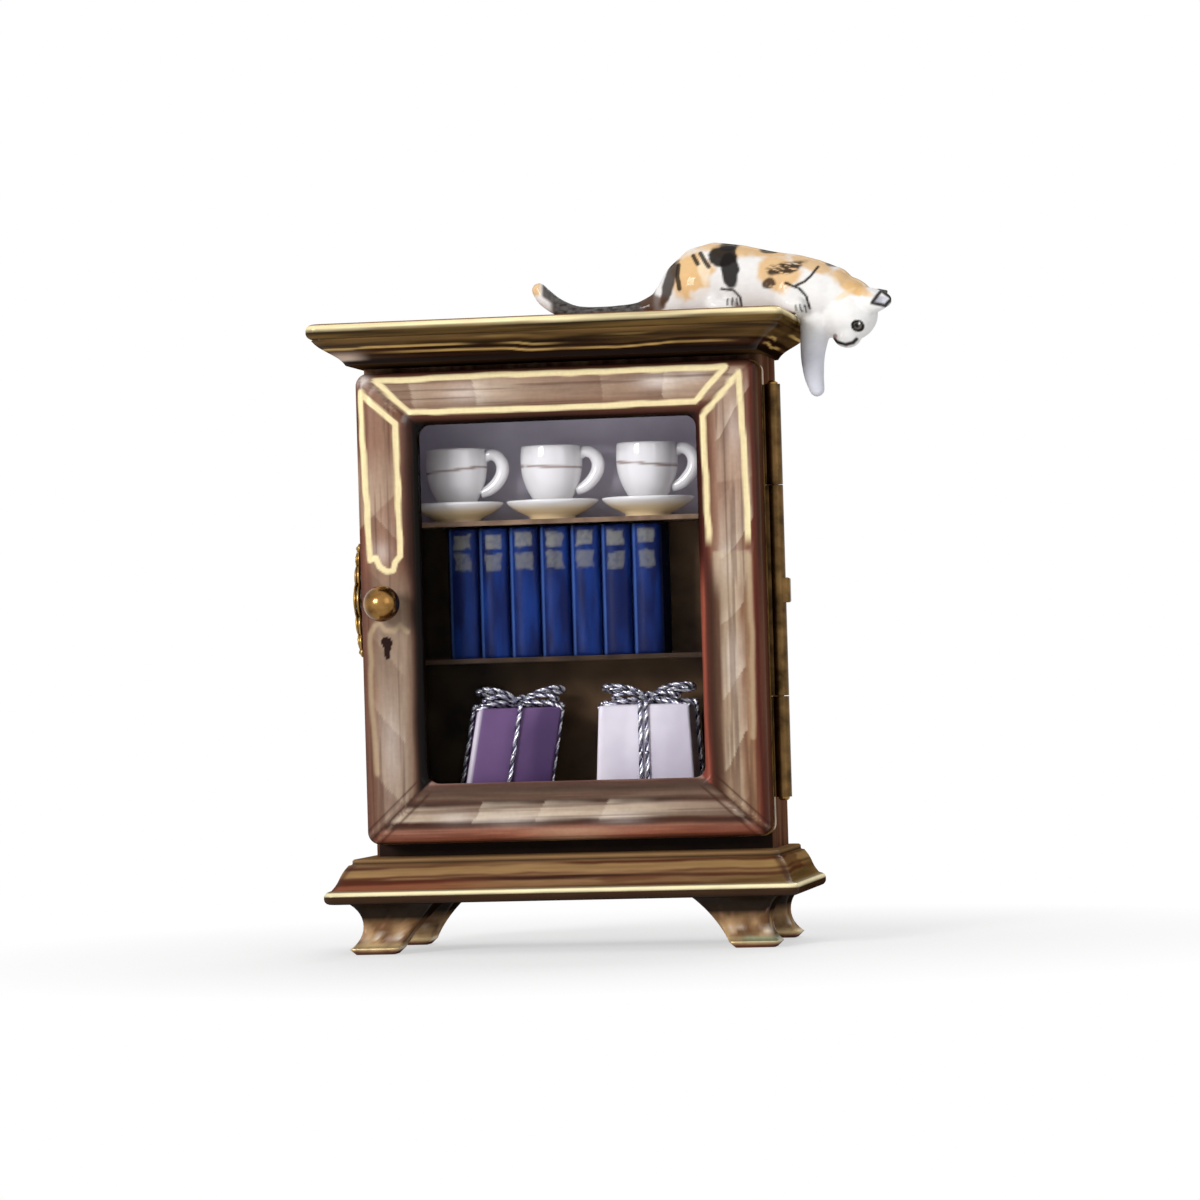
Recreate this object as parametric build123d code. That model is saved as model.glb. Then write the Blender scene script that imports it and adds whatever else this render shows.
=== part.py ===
from build123d import *
import math
import os

# Miniature china cabinet: a hinged porcelain trinket box with a glazed door.
# Millimetres, Z up, front towards -Y. The pieces are drawn about a point on the
# floor, midway between the sides, in the seam plane between case and door. They
# are written out with the origin under the middle of the whole, cat included.
frame_shift_x = 7.0
frame_shift_y = 2.3

# Case: an open-fronted porcelain box
case_width = 59.2
case_depth = 16.0
case_wall = 2.6
case_back_wall = 1.8
case_bottom_z = 13.7
case_top_z = 85.4
case_bottom_thickness = 6.8
case_top_thickness = 4.4
case_back_round = 2.0
case_front_round = 0.6
inner_round = 0.8

# Brass bezels: one ring on the case and one on the door, meeting at the seam
bezel_thickness = 0.7
bezel_proud = 0.15
seam_gap = 0.1
sleeve_depth = 1.6
sleeve_thickness = 0.5

# Door frame: porcelain round a rectangular window
door_bottom_reveal = 2.0
door_top_reveal = 1.0
door_thickness = 5.0
door_corner = 1.8
door_edge_round = 1.1
stile_width = 8.5
bottom_rail = 8.6
top_rail = 7.2
window_corner = 1.7
window_bevel = 0.8
rabbet_width = 1.5
lip_thickness = 1.8

# Pane and the ring that holds it in the rabbet
pane_thickness = 0.8
retainer_thickness = 0.8
retainer_reveal = 0.3
fit_clearance = 0.08

# Hinge: a barrel of three knuckles down the right-hand seam
barrel_radius = 1.15
barrel_standoff = 0.2
pin_radius = 0.45
pin_clearance = 0.05
pin_head_radius = 0.8
pin_head_height = 0.5
hinge_bottom_inset = 5.4
hinge_top_inset = 3.5
side_knuckle_length = 14.6
knuckle_gap = 0.1
lug_height = 3.6
lug_width = 1.7
lug_reach = 0.65

# Clasp: an ornamental plate on the door over a stud on the case
clasp_centre_z = 51.4
clasp_centre_y = -1.7
clasp_thickness = 0.8
clasp_bulge = 1.3
clasp_clearance = 0.3
clasp_lobes = ((0.0, 2.7), (3.5, 1.9), (6.0, 1.35), (7.6, 0.75))
clasp_hole_radius = 0.55
stud_radius = 0.35
stud_length = 1.2

# Knob: a brass ball on a short neck, its stem set in the left stile
knob_inset = 4.0
knob_z = 50.7
knob_radius = 2.65
knob_neck_radius = 1.0
knob_neck_length = 0.7
knob_rosette_radius = 1.7
knob_rosette_height = 0.4
knob_stem_radius = 0.7
knob_stem_length = 2.6

# Plinth: a splayed base with a rounded rim
plinth_bottom_z = 7.4
plinth_rim_thickness = 1.9
plinth_step_height = 0.8
plinth_step_inset = 0.5
plinth_side_ledge = 2.2
plinth_front_ledge = 4.0
plinth_back_ledge = 0.6
plinth_side_splay = 2.75
plinth_front_splay = 4.5
plinth_corner = 1.4
plinth_rim_round = 0.8

# Cornice: an inverted splay with a thick rounded rim
cornice_side_ledge = 0.5
cornice_front_ledge = 4.4
cornice_back_ledge = 0.5
cornice_side_splay = 4.6
cornice_front_splay = 5.4
cornice_back_splay = 2.8
cornice_slope_height = 3.6
cornice_rim_height = 2.2
cornice_corner = 1.6
cornice_rim_round = 0.9

# Feet: four bracket feet with ogee sides
foot_inset_side = 3.2
foot_inset_end = 2.6
foot_top_width = 12.6
foot_sole_width = 7.3
foot_waist_z = 4.6
foot_waist_inset = 1.7
foot_sole_edge = 0.8
foot_depth_share = 0.8

# Shelves, set in grooves in the side walls
shelf_thickness = 0.7
upper_shelf_top_z = 62.6
lower_shelf_top_z = 42.4
groove_depth = 0.4
shelf_setback = 1.8

# Tea cups and saucers on the upper shelf
cup_count = 3
cup_pitch = 14.3
cup_row_x = -3.1
cup_height = 9.7
cup_wall = 0.5
cup_outline = ((1.8, 0.9), (2.7, 3.0), (3.55, 4.9), (4.3, 7.0), (4.8, 9.7))
cup_foot_radius = 2.1
cup_foot_height = 0.5
cup_inner_foot_radius = 1.6
handle_radius = 0.42
handle_sides = 8
handle_reach = 3.0
handle_rise = 3.6
handle_drop = 1.6
handle_sag = 0.5
saucer_radius = 6.8
saucer_height = 2.9
saucer_wall = 0.6
saucer_well_height = 1.3
saucer_well_radius = 3.0
saucer_foot_radius = 3.4
saucer_foot_width = 0.5
saucer_foot_height = 0.5
saucer_bend_radius = 5.4
saucer_bend_height = 1.4
saucer_lip = 0.25

# Books on the lower shelf
book_count = 7
book_width = 4.5
book_pitch = 4.58
book_row_x = -2.8
book_depth = 9.0
book_headroom = 0.3
book_cover = 0.45
book_page_inset = 0.35
book_spine_swell = 0.8
book_back_gap = 0.3

# Two gift boxes on the case floor, tied with cord
gift_height = 13.9
gift_depth = 9.0
gift_widths = (12.6, 14.4)
gift_centres_x = (-9.7, 9.7)
gift_turns = (14.0, -3.0)
gift_edge_round = 0.5
cord_width = 0.6
cord_gap = 0.02
knot_radius = 0.75
knot_height = 1.5
bow_loop_length = 5.2
bow_loop_width = 2.9
bow_lean = 24.0
bow_lap = 0.4
bow_tail_length = 4.2
bow_tail_turn = 48.0

# Cat figure, lying on the cornice with its head over the right-hand end.
# Its points are given from the right-hand edge of the cornice's top.
cat_y = 3.0
limb_sides = 12
body_stations = (
    (-21.1, 1.7, 2.0, 1.8),
    (-18.7, 3.4, 4.0, 3.3),
    (-15.7, 4.65, 5.35, 4.4),
    (-11.9, 5.1, 5.8, 4.8),
    (-7.7, 4.85, 5.45, 4.4),
    (-3.3, 4.35, 4.85, 4.0),
    (0.7, 3.85, 4.65, 4.1),
    (3.7, 3.3, 4.3, 3.9),
    (5.9, 2.9, 3.75, 3.4),
)
tail_points = (
    (-19.9, 2.4),
    (-23.9, 1.3),
    (-28.1, 1.1),
    (-32.1, 1.3),
    (-35.1, 2.4),
    (-37.2, 4.0),
    (-38.1, 5.1),
)
tail_radii = (1.8, 1.25, 1.1, 1.1, 1.15, 1.2, 0.9)
head_centre = (8.8, 0.0, -0.7)
head_radius = 4.15
neck_centre = (7.6, 0.0, 1.9)
neck_radius = 3.75
muzzle_centre = (6.6, -0.6, -3.6)
muzzle_radius = 1.75
arm_stations = (
    (2.7, 0.3, 2.4),
    (2.3, -3.2, 2.05),
    (1.8, -6.0, 1.9),
    (1.9, -8.6, 1.65),
    (2.2, -10.8, 1.25),
)
ear_length = 2.6
ear_base_radius = 1.35
ear_tip_radius = 0.3
ears = (
    ((11.5, -2.0, 1.0), (1.0, -0.25, -0.1)),
    ((11.2, 2.2, 2.2), (0.9, 0.3, 0.35)),
)
haunch = ((-14.9, -2.2, 4.5), (-11.3, -2.4, 4.2), 2.9)
hind_paw = ((-11.8, -3.6, 1.2), (-9.7, -3.9, 1.2), 1.4)
fore_paw = ((-1.0, -3.1, 1.1), (0.5, -3.3, 1.1), 1.45)

# Places worked out from the driving sizes
door_width = case_width
door_bottom_z = case_bottom_z + door_bottom_reveal
door_top_z = case_top_z - door_top_reveal
inner_floor_z = case_bottom_z + case_bottom_thickness
inner_ceiling_z = case_top_z - case_top_thickness
window_width = door_width - 2 * stile_width
window_bottom_z = door_bottom_z + bottom_rail
window_top_z = door_top_z - top_rail
hinge_bottom_z = door_bottom_z + hinge_bottom_inset
hinge_top_z = door_top_z - hinge_top_inset
knob_x = knob_inset - door_width / 2
bezel_back_y = seam_gap + bezel_thickness
case_front_y = bezel_back_y
case_back_y = case_front_y + case_depth
inner_back_y = case_back_y - case_back_wall
inner_width = case_width - 2 * case_wall
row_y = (case_front_y + inner_back_y) / 2
door_back_y = -bezel_back_y
door_front_y = door_back_y - door_thickness
door_height = door_top_z - door_bottom_z
bezel_width = door_width + 2 * bezel_proud
bezel_height = door_height + 2 * bezel_proud
bezel_side_x = bezel_width / 2
lip_back_y = door_front_y + lip_thickness
hinge_x = bezel_side_x + barrel_standoff + barrel_radius
bore_radius = pin_radius + pin_clearance
plinth_top_z = case_bottom_z
cornice_bottom_z = case_top_z
cornice_top_z = cornice_bottom_z + cornice_slope_height + cornice_rim_height
cornice_edge_x = case_width / 2 + cornice_side_ledge + cornice_side_splay


def standing(sketch, y_front, y_back):
    """Extrude a sketch drawn as seen from the front between two depths."""
    return extrude(Plane.XZ.offset(-y_back) * sketch, amount=y_back - y_front)


def lying(sketch, z_bottom, z_top):
    """Extrude a sketch drawn as seen from above between two heights."""
    return extrude(Plane.XY.offset(z_bottom) * sketch, amount=z_top - z_bottom)


def upright_rectangle(width, z_low, z_high, corner=0.0):
    """A front-view rectangle centred on X = 0, with rounded corners if asked."""
    height = z_high - z_low
    shape = RectangleRounded(width, height, corner) if corner else Rectangle(width, height)
    return Pos(0, (z_low + z_high) / 2) * shape


def block(x_low, x_high, y_low, y_high, z_low, z_high):
    """A plain box given by its limits."""
    middle = ((x_low + x_high) / 2, (y_low + y_high) / 2, (z_low + z_high) / 2)
    return Pos(*middle) * Box(x_high - x_low, y_high - y_low, z_high - z_low)


def ball(centre, radius):
    """A sphere at a given place."""
    return Pos(*centre) * Sphere(radius)


def capsule(start, end, radius):
    """A rod with round ends."""
    run = Vector(*end) - Vector(*start)
    rod = Plane(start, z_dir=run).location * Pos(0, 0, run.length / 2) * Cylinder(radius, run.length)
    return rod + ball(start, radius) + ball(end, radius)


def limb(points, radii):
    """A tapering limb: many-sided rings square to a path, with a round end."""
    path = [Vector(*point) for point in points]
    rings = []
    for index, point in enumerate(path):
        before = path[max(index - 1, 0)]
        after = path[min(index + 1, len(path) - 1)]
        ring_plane = Plane(point, x_dir=(0, 1, 0), z_dir=after - before)
        rings.append(ring_plane * RegularPolygon(radii[index], limb_sides))
    tip = Pos(*path[-1]) * Sphere(radii[-1])
    return loft(rings, ruled=True) + tip


def tapered_base(side_half, y_front, y_back, corner, z_low, side_growth, front_growth, back_growth, z_high):
    """A splayed slab between two rounded rectangles."""
    low = Pos(0, (y_front + y_back) / 2) * RectangleRounded(2 * side_half, y_back - y_front, corner)
    high_front = y_front - front_growth
    high_back = y_back + back_growth
    high_half = side_half + side_growth
    high = Pos(0, (high_front + high_back) / 2) * RectangleRounded(2 * high_half, high_back - high_front, corner)
    return loft([Plane.XY.offset(z_low) * low, Plane.XY.offset(z_high) * high], ruled=True)


def rounded_slab(half_width, y_front, y_back, corner, z_low, z_high, edge_round):
    """A slab with rounded corners and rolled upper and lower edges."""
    outline = Pos(0, (y_front + y_back) / 2) * RectangleRounded(2 * half_width, y_back - y_front, corner)
    slab = lying(outline, z_low, z_high)
    edges = slab.faces().sort_by(Axis.Z)[-1].edges() + slab.faces().sort_by(Axis.Z)[0].edges()
    return fillet(edges, edge_round)


def make_shelf(top_z):
    """A shelf whose ends sit in grooves in the side walls."""
    half = inner_width / 2 + groove_depth - fit_clearance
    front = case_front_y + shelf_setback
    back = inner_back_y - fit_clearance
    return block(-half, half, front, back, top_z - shelf_thickness, top_z)


def make_groove(top_z):
    """The pair of grooves that a shelf slides into."""
    half = inner_width / 2 + groove_depth
    low = top_z - shelf_thickness - fit_clearance / 2
    return block(-half, half, case_front_y, inner_back_y, low, top_z + fit_clearance / 2)


def make_case():
    """The porcelain case, open at the front, with shelf grooves."""
    outline = Pos(0, (case_front_y + case_back_y) / 2) * Rectangle(case_width, case_depth)
    case = lying(outline, case_bottom_z, case_top_z)
    uprights = case.edges().filter_by(Axis.Z).sort_by(Axis.Y)
    case = fillet(uprights[2:], case_back_round)
    uprights = case.edges().filter_by(Axis.Z).sort_by(Axis.Y)
    case = fillet(uprights[:2], case_front_round)
    hollow = block(-inner_width / 2, inner_width / 2, case_front_y, inner_back_y, inner_floor_z, inner_ceiling_z)
    inner_edges = hollow.edges().filter_by(Axis.Z).sort_by(Axis.Y)[2:]
    hollow = fillet(inner_edges, inner_round)
    case = case - hollow
    for top_z in (upper_shelf_top_z, lower_shelf_top_z):
        case = case - make_groove(top_z)
    return case


def make_plinth():
    """The splayed plinth: rolled rim, slope and a small step under the case."""
    step_half = case_width / 2 + plinth_side_ledge - plinth_step_inset
    step_front = door_front_y - plinth_front_ledge + plinth_step_inset
    step_back = case_back_y + plinth_back_ledge - plinth_step_inset / 2
    top_half = case_width / 2 + plinth_side_ledge
    top_front = door_front_y - plinth_front_ledge
    top_back = case_back_y + plinth_back_ledge
    step_low = plinth_top_z - plinth_step_height
    rim_top = plinth_bottom_z + plinth_rim_thickness
    rim_half = top_half + plinth_side_splay
    rim_front = top_front - plinth_front_splay
    rim_back = top_back + plinth_side_splay
    rim = rounded_slab(rim_half, rim_front, rim_back, plinth_corner, plinth_bottom_z, rim_top, plinth_rim_round)
    slope = tapered_base(
        rim_half - plinth_rim_round,
        rim_front + plinth_rim_round,
        rim_back - plinth_rim_round,
        plinth_corner,
        rim_top - plinth_rim_round / 2,
        plinth_rim_round - plinth_side_splay,
        plinth_rim_round - plinth_front_splay,
        plinth_rim_round - plinth_side_splay,
        step_low,
    )
    step = rounded_slab(
        step_half, step_front, step_back, plinth_corner,
        step_low - plinth_step_height / 2, plinth_top_z, plinth_step_height / 4,
    )
    return rim + slope + step


def make_cornice():
    """The cornice: a slope that widens upwards into a thick rolled rim."""
    half = case_width / 2 + cornice_side_ledge
    front = door_front_y - cornice_front_ledge
    back = case_back_y + cornice_back_ledge
    rim_low = cornice_bottom_z + cornice_slope_height
    slope = tapered_base(
        half, front, back, cornice_corner, cornice_bottom_z,
        cornice_side_splay - cornice_rim_round / 2,
        cornice_front_splay - cornice_rim_round / 2,
        cornice_back_splay - cornice_rim_round / 2,
        rim_low + cornice_rim_round / 2,
    )
    rim = rounded_slab(
        half + cornice_side_splay,
        front - cornice_front_splay,
        back + cornice_back_splay,
        cornice_corner,
        rim_low,
        cornice_top_z,
        cornice_rim_round,
    )
    return slope + rim


def foot_profile(width_top, width_sole, height):
    """Side outline of a bracket foot, its outer edge at 0 and growing to +."""
    outer = ThreePointArc((0, height), (foot_waist_inset, foot_waist_z), (0, foot_sole_edge))
    outer_sole = Line((0, foot_sole_edge), (foot_sole_edge, 0))
    sole = Line((foot_sole_edge, 0), (width_sole - foot_sole_edge, 0))
    inner_sole = Line((width_sole - foot_sole_edge, 0), (width_sole, foot_sole_edge))
    inner_waist = (width_sole + foot_waist_inset / 2, foot_waist_z)
    inner = ThreePointArc((width_sole, foot_sole_edge), inner_waist, (width_top, height))
    top = Line((width_top, height), (0, height))
    return make_face([outer, outer_sole, sole, inner_sole, inner, top])


def make_foot(side, end):
    """One bracket foot; side is -1 left or 1 right, end is -1 front or 1 back."""
    height = plinth_bottom_z
    rim_half = case_width / 2 + plinth_side_ledge + plinth_side_splay
    rim_front = door_front_y - plinth_front_ledge - plinth_front_splay
    rim_back = case_back_y + plinth_back_ledge + plinth_side_splay
    outer_x = rim_half - foot_inset_side
    outer_y = rim_front + foot_inset_end if end < 0 else rim_back - foot_inset_end
    profile = foot_profile(foot_top_width, foot_sole_width, height)
    short = foot_profile(foot_top_width * foot_depth_share, foot_sole_width * foot_depth_share, height)
    front_view = Plane(origin=(side * outer_x, outer_y, 0), x_dir=(-side, 0, 0), z_dir=(0, side, 0))
    side_view = Plane(origin=(side * outer_x, outer_y, 0), x_dir=(0, -end, 0), z_dir=(-end, 0, 0))
    run_y = extrude(front_view * profile, amount=foot_top_width * 2, both=True)
    run_x = extrude(side_view * short, amount=foot_top_width * 2, both=True)
    return run_y & run_x


def bezel_ring(y_front, y_back):
    """A flat brass ring the size of the door, open over the case interior."""
    outer = upright_rectangle(bezel_width, door_bottom_z - bezel_proud, door_top_z + bezel_proud, door_corner)
    inner = upright_rectangle(
        inner_width - 2 * sleeve_thickness,
        inner_floor_z + sleeve_thickness,
        inner_ceiling_z - sleeve_thickness,
    )
    return standing(outer - inner, y_front, y_back)


def make_case_bezel():
    """The case ring with a sleeve that lines the mouth of the case."""
    outer = upright_rectangle(inner_width, inner_floor_z, inner_ceiling_z)
    inner = upright_rectangle(
        inner_width - 2 * sleeve_thickness,
        inner_floor_z + sleeve_thickness,
        inner_ceiling_z - sleeve_thickness,
    )
    sleeve = standing(outer - inner, case_front_y, case_front_y + sleeve_depth)
    return bezel_ring(seam_gap, bezel_back_y) + sleeve


def knuckle(z_low, z_high, y_web_low, y_web_high):
    """A length of hinge barrel with the web that joins it to its bezel."""
    barrel = Pos(hinge_x, 0, (z_low + z_high) / 2) * Cylinder(barrel_radius, z_high - z_low)
    web = block(bezel_side_x, hinge_x - bore_radius, y_web_low, y_web_high, z_low, z_high)
    bore = Pos(hinge_x, 0, (z_low + z_high) / 2) * Cylinder(bore_radius, z_high - z_low + 1)
    return barrel + web - bore


def make_case_knuckle(z_low, z_high):
    return knuckle(z_low, z_high, seam_gap, bezel_back_y)


def make_door_knuckle(z_low, z_high):
    """The long middle knuckle, with the lug at its middle."""
    barrel = knuckle(z_low, z_high, -bezel_back_y, -seam_gap)
    middle = (z_low + z_high) / 2
    inner_x = hinge_x + bore_radius
    lug = block(
        inner_x, hinge_x + barrel_radius + lug_reach, -lug_width / 2, lug_width / 2,
        middle - lug_height / 2, middle + lug_height / 2,
    )
    outer_edges = lug.faces().sort_by(Axis.X)[-1].edges()
    return barrel + fillet(outer_edges, lug_reach / 2)


def make_hinge_pin():
    """The pin, headed over at both ends of the barrel."""
    pin = Pos(hinge_x, 0, (hinge_bottom_z + hinge_top_z) / 2) * Cylinder(pin_radius, hinge_top_z - hinge_bottom_z)
    for z_face, direction in ((hinge_bottom_z, -1), (hinge_top_z, 1)):
        middle = z_face + direction * pin_head_height / 2
        head = Pos(hinge_x, 0, middle) * Cylinder(pin_head_radius, pin_head_height)
        end_face = head.faces().sort_by(Axis.Z)[-1 if direction > 0 else 0]
        pin = pin + chamfer(end_face.edges(), pin_head_height / 2)
    return pin


def make_door_frame():
    """The porcelain door frame with its window, rabbet and knob socket."""
    frame = standing(
        upright_rectangle(door_width, door_bottom_z, door_top_z, door_corner), door_front_y, door_back_y
    )
    front_edges = frame.faces().sort_by(Axis.Y)[0].edges()
    frame = fillet(front_edges, door_edge_round)
    window = upright_rectangle(window_width, window_bottom_z, window_top_z, window_corner)
    frame = frame - standing(window, door_front_y - 1, door_back_y + 1)
    mouth = [
        edge
        for edge in frame.faces().sort_by(Axis.Y)[0].edges()
        if abs(edge.center().X) < window_width / 2 + 0.1
        and window_bottom_z - 0.1 < edge.center().Z < window_top_z + 0.1
    ]
    frame = chamfer(mouth, window_bevel)
    rabbet = upright_rectangle(
        window_width + 2 * rabbet_width,
        window_bottom_z - rabbet_width,
        window_top_z + rabbet_width,
        window_corner,
    )
    frame = frame - standing(rabbet, lip_back_y, door_back_y + 1)
    socket_depth = knob_stem_length + fit_clearance
    socket = Pos(knob_x, knob_z) * Circle(knob_stem_radius + fit_clearance)
    return frame - standing(socket, door_front_y - 1, door_front_y + socket_depth)


def make_pane():
    """The glass pane behind the lip of the frame."""
    size = rabbet_width - fit_clearance
    outline = upright_rectangle(
        window_width + 2 * size, window_bottom_z - size, window_top_z + size, window_corner
    )
    return standing(outline, lip_back_y, lip_back_y + pane_thickness)


def make_retainer():
    """The ring behind the pane."""
    size = rabbet_width - fit_clearance
    outer = upright_rectangle(
        window_width + 2 * size, window_bottom_z - size, window_top_z + size, window_corner
    )
    inner = upright_rectangle(
        window_width + 2 * retainer_reveal,
        window_bottom_z - retainer_reveal,
        window_top_z + retainer_reveal,
        window_corner,
    )
    pane_back_y = lip_back_y + pane_thickness
    return standing(outer - inner, pane_back_y, pane_back_y + retainer_thickness)


def make_knob():
    """Ball, neck, rosette and stem, turned about one axis."""
    axis_plane = Plane(origin=(knob_x, door_front_y, knob_z), x_dir=(1, 0, 0), z_dir=(0, -1, 0))
    ball_height = knob_rosette_height + knob_neck_length + knob_radius
    rosette = Pos(0, 0, knob_rosette_height / 2) * Cylinder(knob_rosette_radius, knob_rosette_height)
    rosette = chamfer(rosette.faces().sort_by(Axis.Z)[-1].edges(), knob_rosette_height / 2)
    neck = Pos(0, 0, ball_height / 2) * Cylinder(knob_neck_radius, ball_height)
    ball = Pos(0, 0, ball_height) * Sphere(knob_radius)
    stem = Pos(0, 0, -knob_stem_length / 2) * Cylinder(knob_stem_radius, knob_stem_length)
    return axis_plane.location * (rosette + neck + ball + stem)


def make_clasp_plate():
    """The pierced, lobed clasp plate, bulging outwards, with its solder pad."""
    inner_x = -bezel_side_x - clasp_clearance
    outline = Sketch()
    for offset, radius in clasp_lobes:
        for z_side in (-1, 1):
            outline += Pos(clasp_centre_y, clasp_centre_z + z_side * offset) * Circle(radius)
    for offset, radius in clasp_lobes[1:3]:
        for z_side in (-1, 1):
            outline -= Pos(clasp_centre_y, clasp_centre_z + z_side * offset) * Circle(clasp_hole_radius)
    slot_half = stud_radius + clasp_clearance
    slot_depth = seam_gap + bezel_thickness / 2
    outline -= Pos(slot_depth, clasp_centre_z) * Circle(slot_half)
    outline -= Pos(slot_depth + 2, clasp_centre_z) * Rectangle(4, 2 * slot_half)
    thick = extrude(Plane.YZ.offset(inner_x) * outline, amount=-(clasp_thickness + clasp_bulge))
    half_span = clasp_lobes[-1][0] + clasp_lobes[-1][1]
    edge_view = make_face(
        [
            Line((inner_x, clasp_centre_z - half_span), (inner_x, clasp_centre_z + half_span)),
            Line((inner_x, clasp_centre_z + half_span), (inner_x - clasp_thickness, clasp_centre_z + half_span)),
            ThreePointArc(
                (inner_x - clasp_thickness, clasp_centre_z + half_span),
                (inner_x - clasp_thickness - clasp_bulge, clasp_centre_z),
                (inner_x - clasp_thickness, clasp_centre_z - half_span),
            ),
            Line((inner_x - clasp_thickness, clasp_centre_z - half_span), (inner_x, clasp_centre_z - half_span)),
        ]
    )
    plate = thick & standing(edge_view, -3 * half_span, 3 * half_span)
    pad = block(
        inner_x, -bezel_side_x, -bezel_back_y, -seam_gap,
        clasp_centre_z - clasp_lobes[1][0], clasp_centre_z + clasp_lobes[1][0],
    )
    return plate + pad


def make_clasp_stud():
    """The stud on the case bezel that the clasp plate closes over."""
    middle_y = seam_gap + bezel_thickness / 2
    outline = Pos(middle_y, clasp_centre_z) * Circle(stud_radius)
    return extrude(Plane.YZ.offset(-bezel_side_x) * outline, amount=-stud_length)


def make_cup(x):
    """A tea cup: turned bowl on a foot, with a loop handle on its right."""
    z_base = upper_shelf_top_z + saucer_well_height
    lip = cup_outline[-1]
    floor_z = cup_outline[0][1] + cup_wall
    inner_points = [(max(r - cup_wall, cup_inner_foot_radius), z) for r, z in reversed(cup_outline[1:])]
    inner_side = [*inner_points, (cup_inner_foot_radius, floor_z), (0, floor_z)]
    outer_side = [(0, 0), (cup_foot_radius, 0), (cup_foot_radius, cup_foot_height), *cup_outline]
    section = make_face(Polyline(*outer_side, *inner_side, close=True))
    cup = revolve(Plane.XZ * section, Axis.Z)
    upper = (lip[0] - cup_wall, 0, cup_height - handle_drop)
    lower = (cup_outline[2][0] - cup_wall / 2, 0, cup_height - handle_drop - handle_rise)
    outermost = (lip[0] + handle_reach - handle_radius, 0, (upper[2] + lower[2]) / 2 + handle_sag)
    path = ThreePointArc(upper, outermost, lower)
    handle = sweep(Plane(path @ 0, z_dir=path % 0) * RegularPolygon(handle_radius, handle_sides), path=path)
    bowl = make_face(Polyline(*inner_side, (0, lip[1]), close=True))
    handle = handle - revolve(Plane.XZ * bowl, Axis.Z)
    return Pos(x, row_y, z_base) * (cup + handle)


def make_saucer(x):
    """A saucer: foot ring, flat well and a rim that rises outwards."""
    under_z = saucer_foot_height
    section = make_face(
        Polyline(
            (0, under_z),
            (saucer_foot_radius - saucer_foot_width, under_z),
            (saucer_foot_radius - saucer_foot_width, 0),
            (saucer_foot_radius, 0),
            (saucer_foot_radius, under_z),
            (saucer_bend_radius, saucer_bend_height),
            (saucer_radius - saucer_lip, saucer_height - saucer_wall),
            (saucer_radius, saucer_height - saucer_lip),
            (saucer_radius - saucer_lip, saucer_height),
            (saucer_bend_radius, saucer_bend_height + saucer_wall),
            (saucer_well_radius, saucer_well_height),
            (0, saucer_well_height),
            close=True,
        )
    )
    return Pos(x, row_y, upper_shelf_top_z) * revolve(Plane.XZ * section, Axis.Z)


def make_book(x):
    """A closed book: two boards and a swelled spine round its pages."""
    z_low = lower_shelf_top_z
    z_high = upper_shelf_top_z - shelf_thickness - book_headroom
    y_back = inner_back_y - book_back_gap
    y_joint = y_back - book_depth + book_spine_swell
    half = book_width / 2
    spine = ThreePointArc((x + half, y_joint), (x, y_joint - book_spine_swell), (x - half, y_joint))
    cover = make_face(
        [spine, Line((x - half, y_joint), (x - half, y_back)), Line((x - half, y_back), (x + half, y_back)),
         Line((x + half, y_back), (x + half, y_joint))]
    )
    book = lying(cover, z_low, z_high)
    page_half = half - book_cover
    for low, high in ((z_low - 1, z_low + book_page_inset), (z_high - book_page_inset, z_high + 1)):
        book = book - block(x - page_half, x + page_half, y_joint, y_back + 1, low, high)
    return book - block(x - page_half, x + page_half, y_back - book_page_inset, y_back + 1, z_low, z_high)


def gift_place(index):
    """Where a gift stands, on the cord that runs under it."""
    z = inner_floor_z + cord_width + cord_gap
    return Pos(gift_centres_x[index], row_y, z) * Rot(0, 0, gift_turns[index])


def make_gift(index):
    """A wrapped box with softened edges."""
    box = Pos(0, 0, gift_height / 2) * Box(gift_widths[index], gift_depth, gift_height)
    return gift_place(index) * chamfer(box.edges(), gift_edge_round)


def cord_ring(half_width):
    """The outline of a cord that runs once round a gift."""
    inner = Rectangle(2 * (half_width + cord_gap), gift_height + 2 * cord_gap)
    outer = Rectangle(2 * (half_width + cord_gap + cord_width), gift_height + 2 * (cord_gap + cord_width))
    return Pos(0, gift_height / 2) * (outer - inner)


def bow_loop():
    """A flat loop of the bow, reaching out along +X from the knot."""
    outer = SlotOverall(bow_loop_length, bow_loop_width)
    inner = SlotOverall(bow_loop_length - 2 * cord_width, bow_loop_width - 2 * cord_width)
    loop = Pos(bow_loop_length / 2 + bow_lap, 0, 0) * extrude(outer - inner, amount=cord_width / 2, both=True)
    return Rot(0, -bow_lean, 0) * loop


def bow_tail():
    """A loose end of the cord, reaching forward and to +X from the knot."""
    tail = block(0, bow_tail_length, -cord_width / 2, cord_width / 2, -cord_width / 2, cord_width / 2)
    return Rot(0, 0, -bow_tail_turn) * tail


def make_gift_cord(index):
    """The cord tied both ways round a gift, with the knot and the bow."""
    across = standing(cord_ring(gift_widths[index] / 2), -cord_width / 2, cord_width / 2)
    along = Rot(0, 0, 90) * standing(cord_ring(gift_depth / 2), -cord_width / 2, cord_width / 2)
    knot_z = gift_height + cord_gap + cord_width / 2 + knot_height / 2
    cord = across + along + Pos(0, 0, knot_z) * Cylinder(knot_radius, knot_height)
    for half in (bow_loop(), mirror(bow_loop(), Plane.YZ), bow_tail(), mirror(bow_tail(), Plane.YZ)):
        cord = cord + Pos(0, 0, knot_z) * half
    return gift_place(index) * cord


def cat_point(x, y, z):
    """A point of the cat, given from the edge of the cornice's top."""
    return (cornice_edge_x + x, cat_y + y, cornice_top_z + z)


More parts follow.
